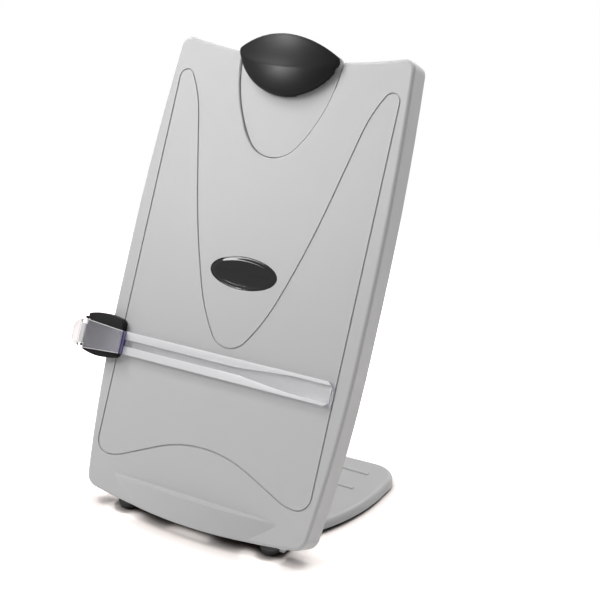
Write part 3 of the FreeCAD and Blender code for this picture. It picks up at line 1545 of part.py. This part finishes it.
def build():
    base_shell()
    base_cover()
    ballast_plate()
    front_feet()
    rear_feet()
    hinge_hardware()
    front_panel()
    badge()
    rear_cover()
    posts = [(side * post_half, place) for side in (-1, 1) for place in posts_at.values()]
    screw_set("rear_cover_screws", posts, back, inner - 2.4, panel=True)
    clip_carrier()
    carrier_catch()
    carrier_brake_springs()
    clip_lever()
    grip_pad()
    clip_pin()
    spring_turn = s.clip_pin / 2 + s.spring_wire / 2 + 0.25
    coil("clip_spring", spring_turn, s.spring_wire * 1.6, s.spring_wire * 2.4, Dim.of(10),
         (-5, clip_pin_at, face + s.clip_pin_height), "x", panel=True)
    slider_body()
    slider_back_plate()
    slider_brake_spring()
    guide_arm()
    guide_pin()
    spring_turn = s.guide_pin / 2 + s.spring_wire / 2 + 0.15
    coil("guide_spring", spring_turn, s.spring_wire, s.spring_wire * 1.5, s.spring_bay - s.spring_wire * 2,
         (guide_pin_x, guide_at + s.barrel_half + s.spring_wire, guide_pin_z), "y", panel=True)
    doc.recompute()


def write():
    os.makedirs("parts", exist_ok=True)
    for item in doc.Objects:
        if "Invalid" in item.State or "Error" in item.State:
            raise RuntimeError("{} is {}".format(item.Label, item.State))
    for name, item in nodes.items():
        if item.Shape.isNull() or not item.Shape.isValid():
            raise RuntimeError(name + " has no valid shape")
    for name, item in nodes.items():
        item.Shape.exportStep("parts/{}.step".format(name))
        box = item.Shape.BoundBox
        sides = (box.XMin, box.XMax, box.YMin, box.YMax, box.ZMin, box.ZMax)
        print("{:24s} {:2d} solids {:9.1f} mm3".format(name, len(item.Shape.Solids), item.Shape.Volume),
              " ".join("{:7.1f}".format(side) for side in sides))


build()
write()
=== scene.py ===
import math

import bpy
from mathutils import Matrix, Vector


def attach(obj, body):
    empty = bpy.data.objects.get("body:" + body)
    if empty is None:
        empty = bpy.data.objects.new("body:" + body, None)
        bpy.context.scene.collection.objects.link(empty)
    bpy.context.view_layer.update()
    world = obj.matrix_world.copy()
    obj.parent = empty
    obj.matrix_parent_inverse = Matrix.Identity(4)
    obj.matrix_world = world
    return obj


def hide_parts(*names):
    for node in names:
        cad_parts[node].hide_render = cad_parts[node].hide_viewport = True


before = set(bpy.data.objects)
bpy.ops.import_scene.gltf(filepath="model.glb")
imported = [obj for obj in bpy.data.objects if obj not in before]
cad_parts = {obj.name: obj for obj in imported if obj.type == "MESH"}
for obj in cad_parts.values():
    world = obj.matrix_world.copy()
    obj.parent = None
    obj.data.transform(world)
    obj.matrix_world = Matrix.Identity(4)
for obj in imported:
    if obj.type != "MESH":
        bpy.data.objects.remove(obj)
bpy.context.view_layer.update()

MM = 0.001

# The panel leans back on its hinge. Its own frame has X across, Y up along it, Z out of its face.
LEAN = math.radians(25.5)
HINGE_HEIGHT = 12 * MM
FACE = 13.5 * MM
PANEL = Matrix.Translation((0, 0, HINGE_HEIGHT)) @ Matrix.Rotation(math.pi / 2 - LEAN, 4, "X")


# ---------------------------------------------------------------- materials

MIX_A, MIX_B, MIX_RESULT = 6, 7, 2      # a Mix node's sockets when it mixes colours
NOISE_LOW, NOISE_HIGH = 0.3, 0.7        # nearly all of a noise's values lie between these
PIT_SHARE = 0.35                        # how deep the pits are against the grain
GRAIN_RISE = 0.05 * MM


def link(tree, source, output, target, socket):
    tree.links.new(source.outputs[output], target.inputs[socket])


def add_node(tree, kind, **settings):
    made = tree.nodes.new(kind)
    for name, value in settings.items():
        setattr(made, name, value)
    return made


def add_noise(tree, scale, detail):
    made = add_node(tree, "ShaderNodeTexNoise")
    made.inputs["Scale"].default_value = scale
    made.inputs["Detail"].default_value = detail
    return made


def make_skin_group():
    """Moulded skin: a fine grain in the surface, a slow drift of colour and of gloss."""
    group = bpy.data.node_groups.new("moulded_skin", "ShaderNodeTree")
    for name, kind in (("Place", "Vector"), ("Dark", "Color"), ("Light", "Color"),
                       ("Grain", "Float"), ("Roughness low", "Float"), ("Roughness high", "Float")):
        group.interface.new_socket(name, in_out="INPUT", socket_type="NodeSocket" + kind)
    for name, kind in (("Colour", "Color"), ("Roughness", "Float"), ("Height", "Float")):
        group.interface.new_socket(name, in_out="OUTPUT", socket_type="NodeSocket" + kind)
    inside = add_node(group, "NodeGroupInput")
    outside = add_node(group, "NodeGroupOutput")
    drift = add_noise(group, scale=9.0, detail=3.0)
    gloss = add_noise(group, scale=60.0, detail=4.0)
    grain = add_node(group, "ShaderNodeTexNoise")
    pits = add_node(group, "ShaderNodeTexVoronoi")
    for texture in (drift, gloss, grain, pits):
        link(group, inside, "Place", texture, "Vector")
    for texture in (grain, pits):
        link(group, inside, "Grain", texture, "Scale")

    tint = add_node(group, "ShaderNodeMix", data_type="RGBA")
    link(group, drift, "Fac", tint, "Factor")
    link(group, inside, "Dark", tint, MIX_A)
    link(group, inside, "Light", tint, MIX_B)
    link(group, tint, MIX_RESULT, outside, "Colour")

    rough = add_node(group, "ShaderNodeMapRange")
    rough.inputs["From Min"].default_value = NOISE_LOW
    rough.inputs["From Max"].default_value = NOISE_HIGH
    link(group, gloss, "Fac", rough, "Value")
    link(group, inside, "Roughness low", rough, "To Min")
    link(group, inside, "Roughness high", rough, "To Max")
    link(group, rough, "Result", outside, "Roughness")

    height = add_node(group, "ShaderNodeMath", operation="MULTIPLY_ADD")
    height.inputs[1].default_value = PIT_SHARE
    link(group, pits, "Distance", height, 0)
    link(group, grain, "Fac", height, 2)
    link(group, height, "Value", outside, "Height")
    return group


SKIN = make_skin_group()


def moulded(name, dark, light, roughness, grain, depth, **shader_values):
    """A moulded material: two close colours, a range of roughness, a grain of a size and depth."""
    material = bpy.data.materials.new(name)
    material.use_nodes = True
    tree = material.node_tree
    shader = tree.nodes["Principled BSDF"]
    place = add_node(tree, "ShaderNodeTexCoord")
    skin = add_node(tree, "ShaderNodeGroup", node_tree=SKIN)
    link(tree, place, "Object", skin, "Place")
    skin.inputs["Dark"].default_value = (*dark, 1)
    skin.inputs["Light"].default_value = (*light, 1)
    skin.inputs["Grain"].default_value = grain
    skin.inputs["Roughness low"].default_value = roughness[0]
    skin.inputs["Roughness high"].default_value = roughness[1]
    bump = add_node(tree, "ShaderNodeBump")
    bump.inputs["Strength"].default_value = depth
    bump.inputs["Distance"].default_value = GRAIN_RISE
    link(tree, skin, "Height", bump, "Height")
    link(tree, skin, "Colour", shader, "Base Color")
    link(tree, skin, "Roughness", shader, "Roughness")
    link(tree, bump, "Normal", shader, "Normal")
    for socket, value in shader_values.items():
        shader.inputs[socket.replace("_", " ")].default_value = value
    return material


def acrylic(name, dark, light, roughness, clearness, refraction):
    """A smooth see-through plastic; clearness is the share of the light that goes through it."""
    return moulded(name, dark, light, roughness, grain=300, depth=0.02,
                   Transmission_Weight=clearness, IOR=refraction)


def grey(level):
    return (level, level, level)


grey_plastic = moulded("grey plastic", dark=grey(0.515), light=grey(0.545),
                       roughness=(0.44, 0.50), grain=2200, depth=0.45, Specular_IOR_Level=0.3)
black_plastic = moulded("satin black plastic", dark=grey(0.007), light=grey(0.010),
                        roughness=(0.34, 0.42), grain=2600, depth=0.2, Specular_IOR_Level=0.14)
soft_black = moulded("soft black lever", dark=grey(0.004), light=grey(0.006),
                     roughness=(0.33, 0.40), grain=2600, depth=0.6, Specular_IOR_Level=0.14)
badge_gloss = moulded("gloss black", dark=grey(0.004), light=grey(0.006),
                      roughness=(0.04, 0.08), grain=400, depth=0.02, Specular_IOR_Level=0.35)
rubber = moulded("black rubber", dark=grey(0.012), light=grey(0.018),
                 roughness=(0.6, 0.75), grain=1800, depth=0.8, Specular_IOR_Level=0.35)
pale_bearing_plastic = moulded("pale nylon", dark=(0.70, 0.69, 0.64), light=(0.76, 0.75, 0.70),
                               roughness=(0.4, 0.5), grain=2500, depth=0.3)
steel = moulded("bright steel", dark=(0.50, 0.50, 0.51), light=(0.60, 0.60, 0.61),
                roughness=(0.25, 0.38), grain=1500, depth=0.15, Metallic=1.0)

clear_plastic = acrylic("clear acrylic", dark=(0.93, 0.93, 0.94), light=(0.96, 0.96, 0.97),
                        roughness=(0.04, 0.09), clearness=0.93, refraction=1.3)
# a whiter, less clear acrylic on the guide's lips and edges: a painted highlight where the clear
# plastic catches the light
painted_highlight_edge = acrylic("acrylic edge with painted highlight", dark=(0.86, 0.86, 0.88), light=(0.93, 0.93, 0.94),
                     roughness=(0.10, 0.16), clearness=0.2, refraction=1.4)
smoky_plate_painted_light = acrylic("smoky acrylic plate with painted light", dark=(0.44, 0.44, 0.47), light=(0.56, 0.55, 0.60),
                      roughness=(0.08, 0.16), clearness=0.72, refraction=1.3)
dim_channel = acrylic("dim acrylic channel", dark=(0.88, 0.88, 0.89), light=(0.96, 0.96, 0.97),
                      roughness=(0.06, 0.12), clearness=0.85, refraction=1.25)
violet_edge_painted_light = acrylic("violet acrylic edge with painted light", dark=(0.20, 0.18, 0.52), light=(0.45, 0.42, 0.78),
                      roughness=(0.06, 0.12), clearness=0.4, refraction=1.4)
pale_tab_painted_shadow = acrylic("pale acrylic tab with painted shadow", dark=(0.80, 0.77, 0.78), light=(0.86, 0.83, 0.84),
                      roughness=(0.08, 0.14), clearness=0.45, refraction=1.15)
end_edge = acrylic("lavender acrylic edge", dark=(0.52, 0.50, 0.76), light=(0.66, 0.64, 0.86),
                   roughness=(0.08, 0.14), clearness=0.3, refraction=1.3)


def band_across(material, across, start, end, bands):
    """Colours that follow each other across a piece, between two places in the panel's frame."""
    tree = material.node_tree
    direction = PANEL.to_3x3() @ Vector(across)
    zero = direction.dot(PANEL.translation)
    place = add_node(tree, "ShaderNodeTexCoord")
    along = add_node(tree, "ShaderNodeVectorMath", operation="DOT_PRODUCT")
    along.inputs[1].default_value = direction
    share = add_node(tree, "ShaderNodeMapRange")
    share.inputs["From Min"].default_value = start + zero
    share.inputs["From Max"].default_value = end + zero
    ramp = add_node(tree, "ShaderNodeValToRGB")
    while len(ramp.color_ramp.elements) < len(bands):
        ramp.color_ramp.elements.new(0.5)
    for stop, (position, colour) in zip(ramp.color_ramp.elements, bands):
        stop.position = position
        stop.color = (*colour, 1)
    link(tree, place, "Object", along, 0)
    link(tree, along, "Value", share, "Value")
    link(tree, share, "Result", ramp, "Fac")
    link(tree, ramp, "Color", tree.nodes["Principled BSDF"], "Base Color")


# the guide's step, upwards, violet with painted light and shade: a pale painted highlight at its
# foot, dark violet, a lavender painted highlight, and a dark line of painted shade along its top
band_across(violet_edge_painted_light, across=(0, 0, 1), start=17.0 * MM, end=22.8 * MM, bands=(
    (0.0, (0.75, 0.75, 0.80)),
    (0.10, (0.03, 0.025, 0.14)),
    (0.42, (0.05, 0.04, 0.22)),
    (0.55, (0.42, 0.39, 0.74)),
    (0.85, (0.36, 0.34, 0.62)),
    (0.93, (0.06, 0.05, 0.16))))
# the guide's plate, from the barrel to the step: a pale painted highlight on the barrel, then
# smoky, and slowly paler towards the step as painted light
band_across(smoky_plate_painted_light, across=(1, 0, 0), start=-145 * MM, end=-100 * MM, bands=(
    (0.0, (0.92, 0.92, 0.93)),
    (0.08, (0.92, 0.92, 0.93)),
    (0.13, (0.42, 0.41, 0.45)),
    (0.55, (0.50, 0.50, 0.53)),
    (1.0, (0.70, 0.69, 0.74))))
# the guide's tab, from its tip inwards: pale, and grey where it meets the barrel, a painted shadow
# of the pin
band_across(pale_tab_painted_shadow, across=(1, 0, 0), start=-154 * MM, end=-144 * MM, bands=(
    (0.0, (0.80, 0.77, 0.78)),
    (0.72, (0.86, 0.83, 0.84)),
    (0.80, (0.30, 0.30, 0.31)),
    (1.0, (0.30, 0.30, 0.31))))

finishes = {"grey_plastic": grey_plastic, "black_plastic": black_plastic,
            "badge_gloss": badge_gloss, "clear_plastic": clear_plastic, "rubber": rubber,
            "steel": steel, "pale_bearing_plastic": pale_bearing_plastic}

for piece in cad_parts.values():
    for index, old in enumerate(piece.data.materials):
        piece.data.materials[index] = finishes[old.name.split(".")[0]]
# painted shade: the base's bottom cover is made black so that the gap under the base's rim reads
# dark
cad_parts["base_cover"].data.materials[0] = black_plastic


# ---------------------------------------------------------------- helpers for new pieces

MERGE_DISTANCE = 0.002 * MM
FLAT_ANGLE = math.radians(0.5)
SHARP_ANGLE = math.radians(35)
SMOOTH_ANGLE = math.radians(40)


def select_only(piece):
    bpy.ops.object.select_all(action="DESELECT")
    piece.select_set(True)
    bpy.context.view_layer.objects.active = piece


def box_round(places):
    """Lowest and highest corner of the box round some places."""
    places = list(places)
    return [Vector([pick(place[axis] for place in places) for axis in range(3)])
            for pick in (min, max)]


def panel_box(node):
    """Lowest and highest corner of a CAD node, measured in the panel's own frame."""
    to_panel = PANEL.inverted()
    return box_round(to_panel @ vertex.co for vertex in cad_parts[node].data.vertices)


def copy_of(node, name):
    """A copy of a CAD node, its loose triangles merged into whole faces, active and selected."""
    piece = bpy.data.objects.new(name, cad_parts[node].data.copy())
    bpy.context.scene.collection.objects.link(piece)
    select_only(piece)
    bpy.ops.mesh.customdata_custom_splitnormals_clear()
    bpy.ops.object.mode_set(mode="EDIT")
    bpy.ops.mesh.select_all(action="SELECT")
    bpy.ops.mesh.remove_doubles(threshold=MERGE_DISTANCE)
    bpy.ops.mesh.dissolve_limited(angle_limit=FLAT_ANGLE)
    bpy.ops.object.mode_set(mode="OBJECT")
    return piece


def add_modifier(piece, kind, **settings):
    modifier = piece.modifiers.new(kind.lower(), kind)
    for name, value in settings.items():
        setattr(modifier, name, value)


def apply_modifiers(piece):
    for modifier in list(piece.modifiers):
        bpy.ops.object.modifier_apply(modifier=modifier.name)


def round_edges(piece, width, segments):
    """Every sharp edge of the active piece rounded, and its surface shaded smooth."""
    add_modifier(piece, "BEVEL", width=width, segments=segments, limit_method="ANGLE",
                 angle_limit=SHARP_ANGLE, use_clamp_overlap=True)
    apply_modifiers(piece)
    bpy.ops.object.shade_smooth_by_angle(angle=SMOOTH_ANGLE)


def stands_for(piece, node, body, slot, *materials):
    """The finished piece takes the CAD node's place on its body."""
    piece.data.materials.clear()
    for material in materials:
        piece.data.materials.append(material)
    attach(piece, body)
    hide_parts(node)


# ---------------------------------------------------------------- clip lever and slider

LEVER_VOXEL = 0.45 * MM
LEVER_SOFTENING = 24          # rounds of smoothing
LEVER_FACES_KEPT = 0.5


def make_lever():
    """The clip's lever, with the soft rounded edges of a rubbery moulding."""
    piece = copy_of("clip_lever", "clip_lever_soft")
    add_modifier(piece, "REMESH", mode="VOXEL", voxel_size=LEVER_VOXEL, use_smooth_shade=True)
    add_modifier(piece, "SMOOTH", factor=0.5, iterations=LEVER_SOFTENING)
    add_modifier(piece, "DECIMATE", ratio=LEVER_FACES_KEPT)
    apply_modifiers(piece)
    bpy.ops.object.shade_smooth()
    stands_for(piece, "clip_lever", "clip", "black_plastic", soft_black)


def make_slider():
    """The slider that wraps the panel's edge, its edges rounded."""
    piece = copy_of("slider_body", "slider_body_soft")
    round_edges(piece, width=1.0 * MM, segments=4)
    stands_for(piece, "slider_body", "slider", "black_plastic", black_plastic)


# ---------------------------------------------------------------- clear line guide

GUIDE_FINISHES = (painted_highlight_edge, smoky_plate_painted_light, dim_channel, violet_edge_painted_light, pale_tab_painted_shadow, end_edge)
EDGE, PLATE, CHANNEL, VIOLET, TAB, END = range(len(GUIDE_FINISHES))

# along the guide
TAB_LENGTH = 9 * MM
STEP = -103 * MM              # where it steps down from the plate over the slider to the bar
STEP_REACH = 4 * MM
END_LENGTH = 6 * MM
# above the panel's face
PLATE_TOP = FACE + 9 * MM
LIPS_TOP = FACE + 4 * MM

OUTLINE = 0.5 * MM            # the painted highlight line round the top of the plate, open beside the step
OUTLINE_END = STEP + 2.4 * MM


def guide_slot(place, facing, low, high):
    """Which of the guide's finishes a face has, by its place and the way it faces."""
    if abs(facing.x) > 0.7 and abs(place.x - STEP) < STEP_REACH:
        return VIOLET
    if facing.x > 0.3 and place.x > high.x - END_LENGTH:
        return END
    if place.x < low.x + TAB_LENGTH:
        return TAB
    if place.x < STEP:
        return EDGE if abs(facing.y) > 0.7 else PLATE
    on_lips = facing.z > 0.5 and place.z > LIPS_TOP
    return EDGE if on_lips or abs(facing.y) > 0.5 else CHANNEL


def make_guide():
    """The guide: a painted highlight on its outline, lips and edges, a smoky plate with painted
    light, a dimmer channel, and a violet step with painted highlights and shade.
    """
    low, high = panel_box("guide_arm")
    piece = copy_of("guide_arm", "line_guide")
    bpy.ops.object.mode_set(mode="EDIT")
    bpy.ops.mesh.select_mode(type="FACE")
    bpy.ops.mesh.select_all(action="DESELECT")
    bpy.ops.object.mode_set(mode="OBJECT")
    to_panel = PANEL.inverted()
    for face in piece.data.polygons:
        place = to_panel @ face.center
        facing = to_panel.to_3x3() @ face.normal
        face.material_index = guide_slot(place, facing, low, high)
        face.select = facing.z > 0.9 and place.x < STEP and place.z > PLATE_TOP
    bpy.ops.object.mode_set(mode="EDIT")
    bpy.ops.mesh.inset(thickness=OUTLINE, use_individual=True, use_select_inset=True)
    bpy.ops.object.mode_set(mode="OBJECT")
    for face in piece.data.polygons:
        if face.select:
            beside_step = (to_panel @ face.center).x >= OUTLINE_END
            face.material_index = PLATE if beside_step else EDGE
    # clearing the materials for the new ones would put every face on the first of them
    slots = [face.material_index for face in piece.data.polygons]
    stands_for(piece, "guide_arm", "guide", "clear_plastic", *GUIDE_FINISHES)
    piece.data.polygons.foreach_set("material_index", slots)
    round_edges(piece, width=0.25 * MM, segments=2)


# ---------------------------------------------------------------- badge

BADGE_SIDES = 96
BADGE_RIM_DROP = 0.75 * MM    # how far the rim's top lies below the dome's
BADGE_CHAMFER = 0.4 * MM
BADGE_RIM = 0.5 * MM
BADGE_GROOVE = 0.35 * MM
BADGE_GROOVE_WIDTH = 0.15 * MM
BADGE_FLANK = 2.6 * MM
BADGE_FLANK_RINGS = 3
BADGE_CREASE = 0.12 * MM      # a narrow ring that keeps the edge of the crown crisp
BADGE_CROWN = 0.02 * MM
BADGE_CROWN_RINGS = 3
BADGE_CROWN_RING_WIDTH = 1.0 * MM
BADGE_SMOOTH_ANGLE = math.radians(50)


def extrude_out(height):
    bpy.ops.mesh.extrude_region_move(TRANSFORM_OT_translate={"value": (0, 0, height)})


def make_badge():
    """Oval badge: a thin raised rim round a glossy dome, its face bare."""
    low, high = panel_box("badge")
    half = (high - low) / 2
    bpy.ops.object.select_all(action="DESELECT")
    bpy.ops.mesh.primitive_circle_add(vertices=BADGE_SIDES, radius=1, fill_type="NGON",
                                      location=(0, 0, 0))
    badge = bpy.context.object
    badge.name = "badge_dome"
    bpy.ops.object.mode_set(mode="EDIT")
    bpy.ops.mesh.select_all(action="SELECT")
    bpy.ops.transform.resize(value=(half.x, half.y, 1))
    bpy.ops.transform.translate(value=(0, 0, low.z))
    rim_top = high.z - BADGE_RIM_DROP
    extrude_out(rim_top - low.z - BADGE_CHAMFER)
    extrude_out(BADGE_CHAMFER)
    bpy.ops.transform.resize(value=((half.x - BADGE_CHAMFER) / half.x,
                                    (half.y - BADGE_CHAMFER) / half.y, 1))
    bpy.ops.mesh.inset(thickness=BADGE_RIM)
    extrude_out(-BADGE_GROOVE)
    bpy.ops.mesh.inset(thickness=BADGE_GROOVE_WIDTH)
    rise = high.z - (rim_top - BADGE_GROOVE) - BADGE_CROWN * BADGE_CROWN_RINGS
    for _ in range(BADGE_FLANK_RINGS):
        bpy.ops.mesh.inset(thickness=BADGE_FLANK / BADGE_FLANK_RINGS,
                           depth=rise / BADGE_FLANK_RINGS)
    bpy.ops.mesh.inset(thickness=BADGE_CREASE)
    for _ in range(BADGE_CROWN_RINGS):
        bpy.ops.mesh.inset(thickness=BADGE_CROWN_RING_WIDTH, depth=BADGE_CROWN)
    bpy.ops.mesh.poke()
    bpy.ops.mesh.select_all(action="SELECT")
    bpy.ops.mesh.normals_make_consistent(inside=False)
    bpy.ops.object.mode_set(mode="OBJECT")
    centre = Vector(((low.x + high.x) / 2, (low.y + high.y) / 2, 0))
    badge.data.transform(PANEL @ Matrix.Translation(centre))
    bpy.ops.object.shade_smooth_by_angle(angle=BADGE_SMOOTH_ANGLE)
    stands_for(badge, "badge", "panel", "badge_gloss", badge_gloss)


# ---------------------------------------------------------------- screws

# half sizes of the two bars of a cross recess, as shares of the head's radius, and its depth
RECESS_LONG = 0.62
RECESS_THIN = 0.14
RECESS_DEPTH = 0.6 * MM


def box_between(low, high):
    """A box from one corner to the other, active and selected."""
    bpy.ops.object.select_all(action="DESELECT")
    bpy.ops.mesh.primitive_cube_add(size=1, location=(low + high) / 2)
    bpy.ops.transform.resize(value=high - low)
    bpy.ops.object.transform_apply(location=True, rotation=True, scale=True)
    return bpy.context.object


def cut_recess(screw):
    """A cross cut into the head, which is at the lower end of the screw's own Z axis."""
    low, high = box_round(vertex.co for vertex in screw.data.vertices)
    middle = (low + high) / 2
    radius = (high.x - low.x) / 2
    centre = Vector((middle.x, middle.y, low.z))
    for across, up in ((RECESS_LONG, RECESS_THIN), (RECESS_THIN, RECESS_LONG)):
        reach = Vector((across * radius, up * radius, RECESS_DEPTH))
        cutter = box_between(centre - reach, centre + reach)
        select_only(screw)
        add_modifier(screw, "BOOLEAN", operation="DIFFERENCE", object=cutter, solver="EXACT")
        apply_modifiers(screw)
        bpy.data.objects.remove(cutter)


def make_screws(node, name, body, placed):
    """Screws with a cross recess in each head; placed says how their own Z axis stands."""
    whole = copy_of(node, name)
    whole.data.transform(placed.inverted())
    bpy.ops.object.mode_set(mode="EDIT")
    bpy.ops.mesh.select_all(action="SELECT")
    bpy.ops.mesh.separate(type="LOOSE")
    bpy.ops.object.mode_set(mode="OBJECT")
    screws = list(bpy.context.selected_objects)
    for screw in screws:
        cut_recess(screw)
    select_only(whole)
    for screw in screws:
        screw.select_set(True)
    bpy.ops.object.join()
    whole.data.transform(placed)
    bpy.ops.object.shade_smooth_by_angle(angle=SMOOTH_ANGLE)
    stands_for(whole, node, body, "steel", steel)


make_lever()
make_slider()
make_guide()
make_badge()
make_screws("rear_cover_screws", "rear_cover_screws_cross", "panel", PANEL)
make_screws("slider_screws", "slider_screws_cross", "slider", PANEL)
make_screws("base_cover_screws", "base_cover_screws_cross", "base", Matrix.Identity(4))


# ---------------------------------------------------------------- studio

OBJECT_MIDDLE = (0, 0.08, 0.2)
CLIP_MIDDLE = (0, 0.17, 0.385)

ROOM_STRENGTH = 0.26
FLOOR_SIZE = 12
FLOOR_NEAR = 0.45                  # the floor's shadow starts to fade here and is gone at FLOOR_FAR
FLOOR_FAR = 0.9
PAINTED_SHADOW_REACH = 38 * MM            # how far the painted contact shadow under the object reaches
PAINTED_SHADOW_SHUT = 0.15                # the share of open space at which the painted contact shadow is darkest
PAINTED_SHADOW_COLOUR = (0.03, 0.015, 0.01, 1)
OPEN_COLOUR = (1.80, 1.70, 1.65, 1)


def seen_rays(tree):
    """1 for camera, glossy and transmission rays, 0 for the rays that light the object."""
    rays = add_node(tree, "ShaderNodeLightPath")
    seen = add_node(tree, "ShaderNodeMath", operation="MAXIMUM")
    every = add_node(tree, "ShaderNodeMath", operation="MAXIMUM")
    link(tree, rays, "Is Camera Ray", seen, 0)
    link(tree, rays, "Is Glossy Ray", seen, 1)
    link(tree, seen, "Value", every, 0)
    link(tree, rays, "Is Transmission Ray", every, 1)
    return every


def make_floor():
    """White paper that keeps the object's soft shadow, is darkened close under the object by a
    painted contact shadow, and fades into plain white away from it.
    """
    bpy.ops.object.select_all(action="DESELECT")
    bpy.ops.mesh.primitive_plane_add(size=FLOOR_SIZE)
    floor = bpy.context.object
    floor.name = "floor"
    material = bpy.data.materials.new("floor_paper")
    material.use_nodes = True
    tree = material.node_tree
    paper = tree.nodes["Principled BSDF"]
    paper.inputs["Base Color"].default_value = (0.80, 0.80, 0.80, 1)
    paper.inputs["Roughness"].default_value = 0.9
    paper.inputs["Specular IOR Level"].default_value = 0.0

    # painted contact shadow: where the object closes in the space above the floor, the floor's
    # colour darkens towards dark brown
    near = add_node(tree, "ShaderNodeAmbientOcclusion", samples=8)
    near.inputs["Distance"].default_value = PAINTED_SHADOW_REACH
    open_share = add_node(tree, "ShaderNodeMapRange")
    open_share.inputs["From Min"].default_value = PAINTED_SHADOW_SHUT
    painted_shadow = add_node(tree, "ShaderNodeMix", data_type="RGBA")
    painted_shadow.inputs[MIX_A].default_value = PAINTED_SHADOW_COLOUR
    painted_shadow.inputs[MIX_B].default_value = OPEN_COLOUR
    lit = add_node(tree, "ShaderNodeBsdfDiffuse")
    link(tree, near, "AO", open_share, "Value")
    link(tree, open_share, "Result", painted_shadow, "Factor")
    link(tree, painted_shadow, MIX_RESULT, lit, "Color")

    white = add_node(tree, "ShaderNodeEmission")
    place = add_node(tree, "ShaderNodeTexCoord")
    away = add_node(tree, "ShaderNodeVectorMath", operation="LENGTH")
    far = add_node(tree, "ShaderNodeMapRange")
    far.inputs["From Min"].default_value = FLOOR_NEAR
    far.inputs["From Max"].default_value = FLOOR_FAR
    shown = add_node(tree, "ShaderNodeMixShader")
    link(tree, place, "Object", away, "Vector")
    link(tree, away, "Value", far, "Value")
    link(tree, far, "Result", shown, 0)
    link(tree, lit, 0, shown, 1)
    link(tree, white, 0, shown, 2)

    mix = add_node(tree, "ShaderNodeMixShader")
    link(tree, seen_rays(tree), 0, mix, 0)
    link(tree, paper, 0, mix, 1)
    link(tree, shown, 0, mix, 2)
    link(tree, mix, 0, tree.nodes["Material Output"], "Surface")
    floor.data.materials.append(material)


def make_world():
    """An even white room; seen directly or in a reflection it is plain white."""
    world = bpy.data.worlds.new("studio")
    bpy.context.scene.world = world
    world.use_nodes = True
    tree = world.node_tree
    room = tree.nodes["Background"]
    room.inputs["Color"].default_value = (1, 1, 1, 1)
    room.inputs["Strength"].default_value = ROOM_STRENGTH
    white = add_node(tree, "ShaderNodeBackground")
    white.inputs["Color"].default_value = (1, 1, 1, 1)
    mix = add_node(tree, "ShaderNodeMixShader")
    link(tree, seen_rays(tree), 0, mix, 0)
    link(tree, room, 0, mix, 1)
    link(tree, white, 0, mix, 2)
    link(tree, mix, 0, tree.nodes["World Output"], "Surface")


def hang_lamp(name, data, place, target, power):
    """A lamp at a place, turned to a target; power is in watts."""
    data.energy = power
    lamp = bpy.data.objects.new(name, data)
    bpy.context.scene.collection.objects.link(lamp)
    lamp.location = place
    lamp.rotation_euler = (Vector(place) - Vector(target)).to_track_quat("Z", "Y").to_euler()
    return lamp


def hang_panel(name, place, size, power):
    """A soft panel of light, turned to the object's middle."""
    data = bpy.data.lights.new(name, "AREA")
    data.size = size
    return hang_lamp(name, data, place, OBJECT_MIDDLE, power)


def light_object():
    """Three soft panels light the object, two of them kept out of its reflections."""
    key = hang_panel("key", place=(-1.1, -1.0, 1.5), size=0.9, power=17.5)
    key.visible_glossy = False
    overhead = hang_panel("overhead", place=(-0.7, -0.15, 1.8), size=0.5, power=12)
    overhead.visible_glossy = False
    hang_panel("back", place=(0.3, 1.2, 1.5), size=0.9, power=23)


def add_glints():
    """Two lamps that are only seen reflected: in the badge and guide, and in the clip's lever."""
    softbox = hang_panel("softbox glint", place=(-1.3, -0.33, 1.62), size=2.2, power=45)
    softbox.data.shape = "RECTANGLE"
    softbox.data.size_y = 0.35
    softbox.visible_diffuse = False
    beam = bpy.data.lights.new("clip glint", "SPOT")
    beam.shadow_soft_size = 0.18
    beam.spot_size = math.radians(5.5)
    beam.spot_blend = 0.4
    spot = hang_lamp("clip glint", beam, (-0.9, -1.24, 0.76), CLIP_MIDDLE, power=560)
    spot.visible_diffuse = False


def make_camera():
    data = bpy.data.cameras.new("camera")
    data.lens = 74.3
    data.sensor_width = 36
    camera = bpy.data.objects.new("camera", data)
    bpy.context.scene.collection.objects.link(camera)
    camera.location = (0.5346, -0.7414, 0.5666)
    camera.rotation_euler = (math.radians(68.561), math.radians(-0.075), math.radians(30.357))
    bpy.context.scene.camera = camera


make_camera()
make_floor()
make_world()
light_object()
add_glints()
bpy.context.scene.view_settings.view_transform = "Standard"
